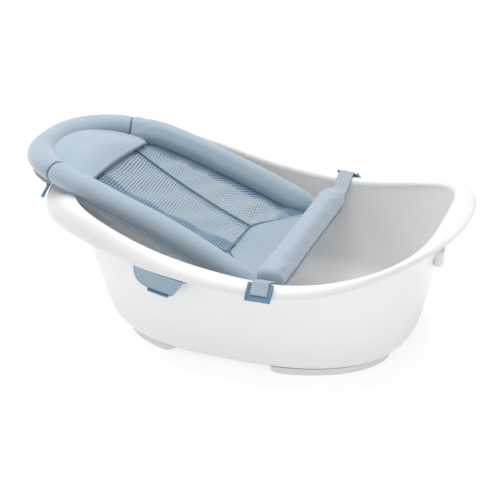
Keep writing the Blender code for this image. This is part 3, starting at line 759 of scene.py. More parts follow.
class Workshop:
    """The trees and finishes that every sub-assembly uses, and the way a finished piece is delivered."""

    def __init__(self) -> None:
        """Builds the trees and finishes."""
        self.finish = Finishes()
        self.net = NetTree()
        self.stitch = StitchTree()
        self.piping = PipingTree()

    def deliver(
        self, piece: bpy.types.Object, body: str, slot: str, nodes: Sequence[str] = ()
    ) -> bpy.types.Object:
        """Moves a finished mesh to its place and makes it ride on a body.

        Args:
            piece: The object, with its mesh about the basin's middle.
            body: The CAD body that carries it.
            slot: The record's material slot; not used.
            nodes: The CAD nodes that it stands for.

        Returns:
            The same piece.
        """
        piece.data.transform(Matrix.Translation((MIDDLE_X, 0.0, 0.0)))
        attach(piece, body)
        if nodes:
            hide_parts(*nodes)
        log.info("%s on %s: %d faces", piece.name, body, len(piece.data.polygons))
        return piece

    def stitches(
        self, name: str, lines: Sequence[Sequence[Vector]], pitch: float, length: float, thread: float,
        angle: float = 0.0
    ) -> bpy.types.Object:
        """Stitches along some lines."""
        sizes = {"Pitch": pitch, "Length": length, "Thread": thread, "Angle": angle}
        return self.stitch.grow(name, edge_line(name, lines), **sizes, Finish=self.finish.thread)

    def cord(
        self, name: str, lines: Sequence[Sequence[Vector]], radius: float, finish: bpy.types.Material,
        joined: bool = False
    ) -> bpy.types.Object:
        """Round piping along some lines."""
        source = edge_line(name, lines, joined)
        return self.piping.grow(name, source, Radius=radius, Sides=8, Finish=finish)


# Soft pieces


@dataclass(frozen=True)
class Stuffing:
    """How a padded cover is filled: its pressure, the slack of its cloth, and how far it may swell."""

    pressure: float = 4.0
    slack: float = 0.03
    reach: float = 0.003
    frames: int = 20

    def fill(self, piece: bpy.types.Object, pinned: Callable[[Vector], float]) -> bpy.types.Object:
        """Swells a closed mesh by cloth simulation and applies the result.

        Args:
            piece: The object on a closed mesh.
            pinned: Gives how firmly a point is sewn down, from 0, free, to 1.

        Returns:
            The same object, with one subdivision.
        """
        rest = np.array([v.co for v in piece.data.vertices])
        group = piece.vertex_groups.new(name="sewn")
        for vertex in piece.data.vertices:
            group.add([vertex.index], pinned(vertex.co), "REPLACE")
        cloth = piece.modifiers.new("Cloth", "CLOTH")
        settings = cloth.settings
        settings.use_pressure = True
        settings.uniform_pressure_force = self.pressure
        settings.shrink_min = -self.slack
        settings.bending_stiffness = 0.3
        settings.vertex_group_mass = "sewn"
        settings.effector_weights.gravity = 0.0
        cloth.point_cache.frame_start = 1
        cloth.point_cache.frame_end = self.frames
        for number in range(1, self.frames + 1):
            bpy.context.scene.frame_set(number)
        plain(piece)
        piece.vertex_groups.clear()
        bpy.context.scene.frame_set(1)
        moved = np.array([v.co for v in piece.data.vertices]) - rest
        far = np.maximum(np.linalg.norm(moved, axis=1, keepdims=True), 1e-9)
        held = rest + moved * np.minimum(1.0, self.reach / far)
        piece.data.vertices.foreach_set("co", held.astype(np.float32).ravel())
        subdivide(piece)
        plain(piece)
        piece.data.shade_smooth()
        return piece


# Basin


def superellipse(
    angle: float, head: float, foot: float, half_width: float, exponent: float
) -> tuple[float, float]:
    """The plan point at a polar angle on an oval whose two ends differ in length."""
    cosine, sine = math.cos(angle), math.sin(angle)
    length = head if cosine < 0 else foot
    radius = (abs(cosine / length) ** exponent + abs(sine / half_width) ** exponent) ** (-1.0 / exponent)
    return radius * cosine, radius * sine


@dataclass(frozen=True)
class BasinShape:
    """The basin's surfaces by formula: a saddle rim with a rolled lip over a flared oval bowl."""

    length: float = 0.712
    width: float = 0.486
    wall: float = 0.003
    crown_low: float = 0.191
    crown_head: float = 0.258
    crown_foot: float = 0.254
    crown_low_x: float = 0.10
    crown_power: float = 1.7
    crown_swell: float = 11.5
    lip_head: float = 0.067
    lip_side: float = 0.0244
    lip_foot: float = 0.020
    drop_head: float = 0.049
    drop_side: float = 0.0165
    drop_foot: float = 0.006
    shoulder_head: float = 0.009
    shoulder_side: float = 0.009
    shoulder_foot: float = 0.023
    shoulder_depth: float = 0.012
    base_head: float = 0.237
    base_foot: float = 0.271
    base_side: float = 0.183
    fillet: float = 0.0405
    floor_z: float = 0.011
    edge_exponent: float = 2.5
    crown_exponent: float = 3.23
    wall_exponent: float = 3.6
    base_exponent: float = 2.43

    def crown_height(self, x: float) -> float:
        """Height of the rim's crown, lowest a little towards the foot end."""
        if x < self.crown_low_x:
            share = (self.crown_low_x - x) / (self.length / 2 - self.lip_head + self.crown_low_x)
            rise = share**self.crown_power + self.crown_swell * share**6 * (1.0 - share) ** 2
            return self.crown_low + (self.crown_head - self.crown_low) * rise
        share = (x - self.crown_low_x) / (self.length / 2 - self.lip_foot - self.crown_low_x)
        return self.crown_low + (self.crown_foot - self.crown_low) * share**self.crown_power

    def crown(self, angle: float) -> Vector:
        """A point on the rim's crown."""
        head, foot = self.length / 2 - self.lip_head, self.length / 2 - self.lip_foot
        x, y = superellipse(angle, head, foot, self.width / 2 - self.lip_side, self.crown_exponent)
        return Vector((x, y, self.crown_height(x)))

    def lip(self, angle: float, turn: float) -> Vector:
        """A point on the rolled lip, from its lower outer edge at turn 0 to the crown at a quarter turn."""
        crown = self.crown(angle)
        half = self.length / 2
        x, y = superellipse(angle, half, half, self.width / 2, self.edge_exponent)
        end = self.drop_head if math.cos(angle) < 0 else self.drop_foot
        drop = self.drop_side + (end - self.drop_side) * math.cos(angle) ** 2
        outward = math.cos(turn)
        place = (crown.x + (x - crown.x) * outward, crown.y + (y - crown.y) * outward)
        return Vector((*place, crown.z - drop + drop * math.sin(turn)))

    def inner_wall(self, angle: float, share: float) -> Vector:
        """A point on the inner wall, from the floor's fillet at 0 to the shoulder's foot at 1."""
        top_head = self.length / 2 - self.lip_head - self.shoulder_head
        top_foot = self.length / 2 - self.lip_foot - self.shoulder_foot
        top_side = self.width / 2 - self.lip_side - self.shoulder_side
        head = self.base_head + (top_head - self.base_head) * share
        foot = self.base_foot + (top_foot - self.base_foot) * share
        side = self.base_side + (top_side - self.base_side) * share
        exponent = self.base_exponent + (self.wall_exponent - self.base_exponent) * share
        x, y = superellipse(angle, head, foot, side, exponent)
        top = self.crown(angle).z - self.shoulder_depth
        z = self.floor_z + (top - self.floor_z) * share
        depth = min(1.0, (z - self.floor_z) / self.fillet)
        inset = self.fillet * (1.0 - math.sqrt(max(0.0, 1.0 - (1.0 - depth) ** 2)))
        keep = 1.0 - inset / math.hypot(x, y)
        return Vector((x * keep, y * keep, z))

    def shoulder(self, angle: float, turn: float) -> Vector:
        """A point on the rounded step from the crown, at turn 0, down to the inner wall."""
        crown, foot = self.crown(angle), self.inner_wall(angle, 1.0)
        inward = math.sin(turn)
        drop = self.shoulder_depth * (1.0 - math.cos(turn))
        return Vector(
            (crown.x + (foot.x - crown.x) * inward, crown.y + (foot.y - crown.y) * inward, crown.z - drop)
        )

    def base(self, angle: float, inset: float) -> tuple[float, float]:
        """A plan point set in from the outline of the outer wall at the base."""
        grown = (self.base_head + self.wall, self.base_foot + self.wall, self.base_side + self.wall)
        x, y = superellipse(angle, *grown, self.base_exponent)
        keep = 1.0 - inset / math.hypot(x, y)
        return x * keep, y * keep

    def lip_frame(self, angle: float, turn: float, lift: float) -> Matrix:
        """A frame on the lip: X along the rim, Y down and outward over the lip, Z out of it."""
        step = 0.05
        along = (self.lip(angle - step, turn) - self.lip(angle + step, turn)).normalized()
        down = (self.lip(angle, turn - step) - self.lip(angle, turn + step)).normalized()
        outward = along.cross(down).normalized()
        axes = Matrix((along, outward.cross(along), outward)).transposed().to_4x4()
        return Matrix.Translation(self.lip(angle, turn) + outward * lift) @ axes

    def rim_angle_at(self, x: float, side: Side, turn: float) -> float:
        """The polar angle, on one side, where the lip's point at this turn has this x."""
        low, high = math.radians(20.0), math.radians(160.0)
        for _ in range(40):
            middle = (low + high) / 2
            low, high = (middle, high) if self.lip(middle, turn).x > x else (low, middle)
        return side.value * low


@dataclass
class Basin:
    """The white moulding with its lug, corner feet, and the floor drain with its plug."""

    shop: Workshop
    shape: BasinShape
    around: int = 240
    drain_hole: float = 0.0168
    lug_size: tuple[float, float, float] = (0.0155, 0.024, 0.032)
    lug_share: float = 0.70
    lip_rounding: float = 0.0012
    foot_inset: float = 0.020
    foot_width: float = 0.024

    def rings(self) -> Rows:
        """The inner and upper surface, from the lip's outer edge to the middle of the floor."""
        quarter = math.pi / 2
        angles = [math.tau * (i + 0.5) / self.around for i in range(self.around)]
        lip_turns = [quarter * i / 16 for i in range(17)]
        step_turns = [quarter * i / 9 for i in range(1, 10)]
        rows = [[self.shape.lip(a, t) for a in angles] for t in lip_turns]
        rows += [[self.shape.shoulder(a, t) for a in angles] for t in step_turns]
        fillet_top = self.shape.fillet / (
            self.shape.crown_low - self.shape.shoulder_depth - self.shape.floor_z
        )
        shares = [1.0 - (1.0 - fillet_top) * i / 18 for i in range(1, 19)]
        shares += [fillet_top * (1.0 - math.sin(quarter * i / 14)) for i in range(1, 15)]
        rows += [[self.shape.inner_wall(a, s) for a in angles] for s in shares]
        edge = rows[-1]
        middle = Vector((0.02, 0.0, self.shape.floor_z))
        rows += [[middle.lerp(p, keep) for p in edge] for keep in (0.85, 0.65, 0.42, 0.2, 0.06)]
        return rows

    def build_shell(self) -> None:
        """The moulding in one piece: wall, rounded lip edge, drain hole and the lug at the foot end."""
        mesh = grid_mesh("tub_shell_skin", self.rings(), closed=True)
        work = bmesh.new()
        work.from_mesh(mesh)
        work.verts.ensure_lookup_table()
        work.faces.new(work.verts[-self.around :])
        work.to_mesh(mesh)
        work.free()
        shell = add_piece("basin_moulding", mesh, self.shop.finish.white)
        wall = {"thickness": self.shape.wall, "offset": -1.0, "use_even_offset": True}
        add_modifier(shell, "SOLIDIFY", **wall, use_quality_normals=True)
        round_edges(shell, self.lip_rounding, 3, 60.0)
        plain(shell)
        hole = turned_mesh(
            "drain_cut", ((0.0, 0.03), (self.drain_hole, 0.03), (self.drain_hole, 0.0), (0.0, 0.0)),
            Vector((DRAIN_X, 0.0, 0.0))
        )
        cut_or_join(shell, add_piece("drain_cut", hole), "DIFFERENCE")
        start = self.shape.inner_wall(0.0, self.lug_share) + Vector((self.shape.wall * 0.4, 0.0, 0.0))
        lug = block("lug", self.lug_size, start + Vector((self.lug_size[0] / 2, 0.0, 0.0)), 0.005)
        cut_or_join(shell, add_piece("lug", lug), "UNION")
        sharpen(shell, 50.0)
        shell.data.materials.clear()
        shell.data.materials.append(self.shop.finish.white)
        self.shop.deliver(shell, "tub", "tub_plastic", ["tub_shell"])

    def build_feet(self) -> None:
        """Four curved corner feet with rounded lower edges and chamfered ends."""
        spans = {
            "foot_pad_foot_near": (-63.0, -12.0),
            "foot_pad_foot_far": (12.0, 63.0),
            "foot_pad_head_far": (121.0, 168.0),
            "foot_pad_head_near": (192.0, 239.0),
        }
        outer, inner, low = self.foot_inset, self.foot_inset + self.foot_width, 0.0
        curve = 0.0035
        section = [(outer, 0.0130), (outer, curve)]
        section += [
            (outer + curve * (1 - math.cos(t)), curve * (1 - math.sin(t))) for t in (0.5, 1.0, math.pi / 2)
        ]
        section += [(inner - curve, low), (inner - curve * 0.3, curve * 0.3), (inner, curve), (inner, 0.0074)]
        section += [(outer + 0.016, 0.0078), (outer + 0.010, 0.0086), (outer + 0.004, 0.0108)]
        steps, chamfer = 44, 0.07
        for node, (start, end) in spans.items():
            rows = []
            for i in range(steps + 1):
                share = i / steps
                angle = math.radians(start + (end - start) * share)
                end_rise = max(0.0, 1.0 - min(share, 1.0 - share) / chamfer) * 0.0055
                ring = []
                for inset, z in section:
                    x, y = self.shape.base(angle, inset)
                    ring.append(Vector((x, y, max(z, min(end_rise, 0.0074)))))
                rows.append(ring)
            foot = add_piece(
                node.replace("foot_pad", "corner_foot"), grid_mesh(node, rows, True, True),
                self.shop.finish.pad
            )
            self.shop.deliver(sharpen(foot, 50.0), "tub", "foot_pad", [node])

    def build_drain(self) -> None:
        """The seat ring in the floor and the plug with its pull knob."""
        top, low = self.shape.floor_z, self.shape.floor_z - self.shape.wall
        gap = 0.0003
        ring = (
            (0.0215, top + 0.0022), (0.0225, top + 0.0012), (0.0225, top + gap), (0.0163, top + gap),
            (0.0163, low - 0.0005), (0.0140, low - 0.0005), (0.0140, top + 0.0015), (0.0147, top + 0.0022),
        )
        middle = Vector((DRAIN_X, 0.0, 0.0))
        seat = add_piece("drain_ring", turned_mesh("drain_ring", ring, middle, 96), self.shop.finish.seat)
        self.shop.deliver(sharpen(seat, 45.0), "tub", "drain_seat", ["drain_seat"])
        face = top + 0.0022 + gap
        knob = [
            (0.0075 * math.sin(t), face + 0.0130 + 0.0040 * math.cos(t))
            for t in (0.0, 0.35, 0.7, 1.05, 1.4, 1.75, 2.1)
        ]
        plug = (
            *knob, (
                0.0045, face + 0.0085
            ), (0.0040, face + 0.0065), (0.0060, face + 0.0045), (0.0175, face + 0.0030),
            (
                0.0187, face + 0.0022
            ), (0.0190, face + 0.0012), (0.0187, face), (0.0137, face), (0.0133, face - 0.001),
            (0.0131, low + 0.0006), (0.0125, low), (0.0, low),
        )
        stopper = add_piece(
            "drain_stopper", turned_mesh("drain_stopper", plug, middle, 72), self.shop.finish.plug
        )
        self.shop.deliver(sharpen(stopper, 45.0), "plug", "drain_plug", ["drain_plug"])

    def build(self) -> None:
        """Builds every piece of the basin."""
        self.build_shell()
        self.build_feet()
        self.build_drain()


@dataclass
class SideFlap:
    """The half-moon flap under the near rim, its grip tab, and the hinge it hangs on."""

    shop: Workshop
    hinge: Vector
    axis: Vector
    width: float = 0.088
    height: float = 0.040
    lean: float = 0.22
    top: float = -0.0027

    def frame(self) -> Matrix:
        """The hinge's own space: X along it towards the head, Y outward from the wall, Z up."""
        along = -self.axis.normalized()
        outward = Vector((-along.y, along.x, 0.0)).normalized()
        turn = Matrix((along, outward, along.cross(outward))).transposed().to_4x4()
        return Matrix.Translation(self.hinge) @ turn

    def outline(self, inset: float) -> list[tuple[float, float]]:
        """The half-moon in the hinge's X and Z, set in from its edge."""
        half, height, steps = self.width / 2 - inset, self.height - inset, 48
        top = self.top - inset * 0.6
        line = [(half - 2 * half * i / 12, top) for i in range(1, 12)]
        moon = []
        for i in range(steps + 1):
            angle = math.pi * i / steps
            cosine, sine = math.cos(angle), math.sin(angle)
            if cosine > 0.0:
                share = angle / (math.pi / 2)
                moon.append((-half * (1.0 - 0.40 * share), top - (height + self.top) * share**0.85))
            else:
                moon.append((half * abs(cosine) ** 0.62, top - (height + self.top) * sine**0.62))
        return [*moon, *reversed([(-x, z) for x, z in line])]

    def plate(self) -> bpy.types.Mesh:
        """The flap's curved plate: rounded rim, and a face sunk a little inside it."""
        layers = (
            (6.0, -0.0045), (2.0, -0.0060), (0.6, -0.0060), (0.0, -0.0050), (0.0, -0.0005), (0.5, 0.0012),
            (1.6, 0.0026), (2.8, 0.0033), (3.8, 0.0033), (4.6, 0.0026), (6.5, 0.0024),
        )
        rows = []
        for inset, depth in layers:
            row = []
            for x, z in self.outline(inset * 0.001):
                bow = 0.0012 * (1.0 - (2.0 * x / self.width) ** 2)
                row.append(Vector((x, depth + bow + z * self.lean, z)))
            rows.append(row)
        return grid_mesh("flap_plate", rows, closed=True, caps=True)

    def build(self) -> None:
        """Builds the flap and its tab; the bracket and the pin keep their CAD shape."""
        place = self.frame()
        flap = add_piece("flap_panel", self.plate(), self.shop.finish.flap)
        barrel = rod_mesh("flap_barrel", 0.0038, self.width - 0.006)
        cut_or_join(flap, add_piece("flap_barrel", barrel), "UNION")
        bore = rod_mesh("flap_bore", 0.0018, self.width + 0.02)
        cut_or_join(flap, add_piece("flap_bore", bore), "DIFFERENCE")
        flap.data.transform(place)
        flap.data.materials.clear()
        flap.data.materials.append(self.shop.finish.flap)
        self.shop.deliver(sharpen(flap, 45.0), "flap", "flap_plastic", ["side_flap"])
        tab_z = -self.height - 0.003
        size, centre = (0.037, 0.007, 0.0045), (0.001, -0.0025 + tab_z * self.lean, tab_z - 0.0028)
        tab = add_piece("flap_grip", block("flap_grip", size, centre, 0.0014), self.shop.finish.clip)
        for i in range(5):
            rib = block(
                "grip_rib", (0.0012, 0.0012, 0.0040),
                (centre[0] + 0.006 * (i - 2), centre[1] + 0.0036, centre[2]), 0.0003
            )
            cut_or_join(tab, add_piece("grip_rib", rib), "UNION")
        tab.data.transform(place)
        self.shop.deliver(sharpen(tab, 40.0), "flap", "clip_plastic", ["flap_tab"])
        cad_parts["flap_bracket"].data.materials.clear()
        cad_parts["flap_bracket"].data.materials.append(self.shop.finish.flap)
        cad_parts["flap_pin"].data.materials.clear()
        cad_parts["flap_pin"].data.materials.append(self.shop.finish.pin)


# Sling


@dataclass(frozen=True)
class SlingShape:
    """The sling's hoop, its foot bar, and the seams of its net, by formula."""

    sleeve_r: float = 0.0175
    head_x: float = -0.3727
    bend_x: float = -0.12
    foot_x: float = 0.0426
    half_width: float = 0.146
    flare: float = 0.0645
    exponent: float = 2.53
    head_z: float = 0.291
    foot_z: float = 0.157
    power: float = 1.465
    bar_x: float = 0.083
    bar_z: float = 0.178
    gap: float = 0.0003
    seam_start: float = -0.2555
    seam_end: float = -0.0350
    net_start: float = -0.2720
    settle_from: float = -0.235
    settle_by: float = 0.0060
    near_joint: float = -0.308
    far_joint: float = -0.285

    def height(self, x: float) -> float:
        """Height of the hoop's middle line."""
        share = max(0.0, (x - self.head_x) / (self.foot_x - self.head_x))
        return self.head_z + (self.foot_z - self.head_z) * share**self.power

    def half(self, x: float) -> float:
        """Half the distance between the hoop's two sides, along its arms and round the head."""
        if x >= self.bend_x:
            return self.half_width + self.flare * (x - self.bend_x)
        share = min(1.0, (self.bend_x - x) / (self.bend_x - self.head_x))
        return self.half_width * (1.0 - share**self.exponent) ** (1.0 / self.exponent)

    def point(self, x: float, side: Side) -> Vector:
        """The hoop's middle line at x on one side."""
        return Vector((x, side.value * self.half(x), self.height(x)))

    def droop(self, x: float) -> float:
        """How far a point is into the round of the head, from 0 to 1, where the padding is widest."""
        return max(0.0, min(1.0, (self.settle_from - x) / (self.settle_from - self.head_x))) ** 1.1

    def settle(self, point: Vector) -> Vector:
        """The padding's middle, which sags and spreads a little off the wire round the head."""
        by = self.settle_by * self.droop(point.x)
        return point + Vector((-by, 0.0, -2.3 * by))

    def arm(self, side: Side, start: float, end: float, count: int) -> list[Vector]:
        """The padding's middle along one side from x start to x end."""
        fine = 120
        line = [self.settle(self.point(start + (end - start) * i / fine, side)) for i in range(fine + 1)]
        return even_path(line, count)

    def head(self, start: float, count: int) -> list[Vector]:
        """Round the head from the near side to the far side, starting and ending at x start."""
        fine, span = 240, self.bend_x - self.head_x
        limit = math.acos(max(-1.0, min(1.0, (self.bend_x - start) / span)))
        points = []
        for i in range(fine + 1):
            turn = -limit + 2.0 * limit * i / fine
            x = self.bend_x - span * math.cos(turn) ** (2.0 / self.exponent)
            y = math.copysign(self.half_width * abs(math.sin(turn)) ** (2.0 / self.exponent), turn)
            points.append(self.settle(Vector((x, y, self.height(x)))))
        return even_path(points, count)

    def loop(self, start: float = 0.022) -> list[Vector]:
        """The padding's whole middle line, from the near side's foot end round the head to the far one."""
        bend = self.bend_x
        near, far = self.arm(Side.NEAR, start, bend, 120), self.arm(Side.FAR, bend, start, 120)
        return even_path([*near[:-1], *self.head(bend, 240), *far[1:]], 900)

    def sections(self, start: float = 0.022, gap: float = 0.0) -> dict[str, list[Vector]]:
        """The middle line in three parts, cut at the two sewn joints.

        Args:
            start: The x of both foot ends.
            gap: The distance left out at each side of a joint.

        Returns:
            The near, head and far parts, each running on from the one before.
        """
        line = self.loop(start)
        near = next(i for i, p in enumerate(line) if p.x < self.near_joint)
        far = next(i for i, p in enumerate(line) if i > near and p.y > 0 and p.x > self.far_joint)
        skip = round(gap / (line[1] - line[0]).length)
        ends = (0, near - skip), (near + skip, far - skip), (far + skip, len(line) - 1)
        return {word: line[a : b + 1] for word, (a, b) in zip(("near", "head", "far"), ends)}

    def rod_corner(self, side: Side) -> list[Vector]:
        """The foot rod from inside the sleeve, round the corner, to the straight bar."""
        y = side.value
        return [
            self.point(0.034, side),
            self.point(0.0475, side),
            Vector((0.0600, y * 0.1580, 0.1540)),
            Vector((0.0700, y * 0.1560, 0.1605)),
            Vector((0.0780, y * 0.1500, 0.1685)),
        ]

    def long_seam(self, x: float) -> tuple[float, float]:
        """Half width and height of the seams between the back panel and the side panels."""
        share = (x - self.seam_start) / (self.seam_end - self.seam_start)
        return 0.081 - 0.026 * share, 0.2455 - 0.1245 * share + 0.0260 * share**2

    def rail(self, x: float, side: Side) -> Vector:
        """Where the side net is sewn to the sleeve, low on its inner side."""
        keep = min(1.0, max(0.35, (0.055 - x) / 0.06))
        return Vector((x, side.value * (self.half(x) - 0.0128), self.height(x) - 0.0205 * keep))

    def seat_edge(self, share: float, side: Side) -> Vector:
        """The seat panel's side edge, from the cross seam to the foot corner."""
        start = Vector((-0.0335, side.value * 0.0540, 0.1475))
        return start.lerp(Vector((0.0400, side.value * 0.1330, 0.1445)), share)


@dataclass
class Sleeves:
    """The padded sleeves round the hoop, the sewn rings between them, and the stitched welt below."""

    shop: Workshop
    shape: SlingShape
    sides: int = 40
    taper: float = 0.068
    tip_r: float = 0.0066
    inner_turn: float = math.radians(238.0)
    side_hang: float = 0.0105
    head_hang: float = 0.0020
    welt_drop: float = 1.5
    spread: float = 0.24
    stuffing: Stuffing = Stuffing(pressure=3.0, slack=0.002, reach=0.0011)

    def ring(self, radius: float, hang: float, flip: float, wide: float) -> list[tuple[float, float]]:
        """A sleeve's section: an oval, drawn out low on the inner side to where the net is sewn on."""
        ring = []
        for i in range(self.sides):
            turn = math.tau * i / self.sides
            reach = radius + hang * max(0.0, math.cos(turn - self.inner_turn)) ** 2.2
            ring.append((flip * reach * math.cos(turn) * wide, reach * math.sin(turn)))
        return ring

    def radius(self, point: Vector) -> float:
        """The stuffed radius at a point, larger round the head."""
        return self.shape.sleeve_r * (0.97 + 0.10 * self.shape.droop(point.x))

    def end_pinch(self, distance: float) -> float:
        """How much a sleeve narrows at a distance from the sewn ring at its end."""
        near = max(0.0, 1.0 - distance / 0.009)
        return 1.0 - 0.09 * near**2

    def rows(self, word: str) -> Rows:
        """One sleeve's rings along its part of the hoop; the side sleeves close in a leaf-shaped tip."""
        middle = self.shape.sections()[word]
        side = Side.NEAR if word == "near" else Side.FAR
        if word == "head":
            path = even_path(middle, 110)
        else:
            inward = middle if word == "near" else list(reversed(middle))
            tip = list(reversed(self.shape.rod_corner(side)))[1:4]
            path = rounded_path([*tip, *even_path(inward, 60)], 118, 1)
        lengths = np.concatenate([[0.0], np.cumsum([(b - a).length for a, b in zip(path, path[1:])])])
        whole = lengths[-1]
        flip = 1.0 if word == "far" else -1.0

        def section(i: int) -> list[tuple[float, float]]:
            """The ring at one point of the path."""
            full, wide = self.radius(path[i]), 1.0 + self.spread * self.shape.droop(path[i].x)
            if word == "head":
                pinch = self.end_pinch(min(lengths[i], whole - lengths[i]))
                return self.ring(full * pinch, self.head_hang, flip, wide)
            share = min(1.0, lengths[i] / self.taper)
            swell = math.sin(share * math.pi / 2) ** 1.15
            radius = (self.tip_r + (full - self.tip_r) * swell) * self.end_pinch(whole - lengths[i])
            return self.ring(radius, self.side_hang * swell**1.5, flip, wide)

        return sweep(path, section)

    def build_padding(self) -> None:
        """The three stuffed sleeves."""
        for word in ("near", "head", "far"):
            rings = self.rows(word)
            mesh = grid_mesh("sleeve", rings, closed=True, caps=True)
            piece = add_piece(f"padded_sleeve_{word}", mesh, self.shop.finish.knit)
            ends = [
                rings[0][0].lerp(rings[0][self.sides // 2], 0.5),
                rings[-1][0].lerp(rings[-1][self.sides // 2], 0.5)
            ]

            def sewn(point: Vector, ends: list[Vector] = ends) -> float:
                """Firm at the two sewn ends, and free between them."""
                near = min((point - end).length for end in ends)
                return max(0.0, min(1.0, (0.024 - near) / 0.006))

            self.stuffing.fill(piece, sewn)
            self.shop.deliver(piece, "sling", "padded_fabric", [f"sleeve_{word}"])

    def build_rings(self) -> None:
        """The dark thread pulled tight round the two joints between the sleeves."""
        lines = []
        parts = self.shape.sections()
        for before, after in (("near", "head"), ("head", "far")):
            seam = parts[after][0]
            along = (parts[after][2] - parts[before][-3]).normalized()
            right = along.cross(UP).normalized()
            above = right.cross(along)
            radius, count = self.radius(seam) * 0.925, 48
            right *= 1.0 + self.spread * self.shape.droop(seam.x)
            turns = [math.tau * i / count for i in range(count)]
            lines.append([seam + (right * math.cos(t) + above * math.sin(t)) * radius for t in turns])
        rings = self.shop.cord("sleeve_joint_threads", lines, 0.00065, self.shop.finish.thread, joined=True)
        self.shop.deliver(rings, "sling", "padded_fabric")

    def welt_path(self, path: Sequence[Vector]) -> tuple[list[Vector], list[Vector]]:
        """The welt's middle line and its spread, down and outward from the sleeve."""
        line, spread = [], []
        for point, ahead in zip(path, directions(path)):
            outward = Vector((ahead.y, -ahead.x, 0.0)).normalized()
            bend = point.x - self.shape.bend_x if point.x < self.shape.bend_x else 0.0
            if outward.dot(Vector((bend, point.y, 0.0))) < 0:
                outward.negate()
            slope = (outward - UP * self.welt_drop).normalized()
            line.append(point + slope * (self.radius(point) + 0.0050 - 0.0030 * self.shape.droop(point.x)))
            spread.append(slope)
        return line, spread

    def build_welts(self) -> None:
        """The folded seam allowance along the sleeves, its edge a little wavy, with two rows of stitches."""
        parts = self.shape.sections(0.026, 0.0006)
        paths = {f"welt_{word}": even_path(part, 150) for word, part in parts.items()}
        ridges = (
            (-0.0055, 0.0009), (-0.0035, 0.0013), (-0.0016, 0.0008), (0.0004, 0.0013), (0.0022, 0.0008),
            (0.0042, 0.0013), (0.0050, 0.0006)
        )
        stitch_lines = []
        for node, path in paths.items():
            line, spread = self.welt_path(path)
            rows, last = [], len(line) - 1
            seams = {-0.0016: [], 0.0022: []}
            for i, (point, slope, ahead) in enumerate(zip(line, spread, directions(line))):
                face = slope.cross(ahead).normalized()
                wave = 0.0006 * math.sin(i * 0.55) + 0.0005 * math.sin(i * 0.23 + 1.0)
                fade = min(1.0, i / 8.0, (last - i) / 8.0) * 0.75 + 0.25
                fade *= 1.0 + 0.85 * max(0.0, min(1.0, (point.x + 0.29) / 0.13))
                upper = [(s * (fade if s > 0 else 1.0), t) for s, t in ridges]
                ring = [point + slope * s + face * (t + wave * (s + 0.005) * 60) for s, t in upper]
                ring += [point + slope * s + face * (wave * (s + 0.005) * 60 - t) for s, t in reversed(upper)]
                rows.append(ring)
                side_out = 1.0 if face.dot(Vector((slope.x, slope.y, 0.6))) > 0 else -1.0
                for offset, stitch in seams.items():
                    scaled = offset * (fade if offset > 0 else 1.0)
                    lift = wave * (scaled + 0.005) * 60 + side_out * 0.0010
                    stitch.append(point + slope * scaled + face * lift)
            stitch_lines += list(seams.values())
            piece = add_piece(
                f"stitched_{node}", grid_mesh(node, rows, closed=True, caps=True), self.shop.finish.knit
            )
            subdivide(piece)
            self.shop.deliver(plain(piece), "sling", "padded_fabric", [node])
        stitches = self.shop.stitches("welt_stitches", stitch_lines, 0.0042, 0.0031, 0.0007)
        self.shop.deliver(stitches, "sling", "padded_fabric")

    def build(self) -> None:
        """Builds the sleeves and what is sewn to them."""
        self.build_padding()
        self.build_rings()
        self.build_welts()


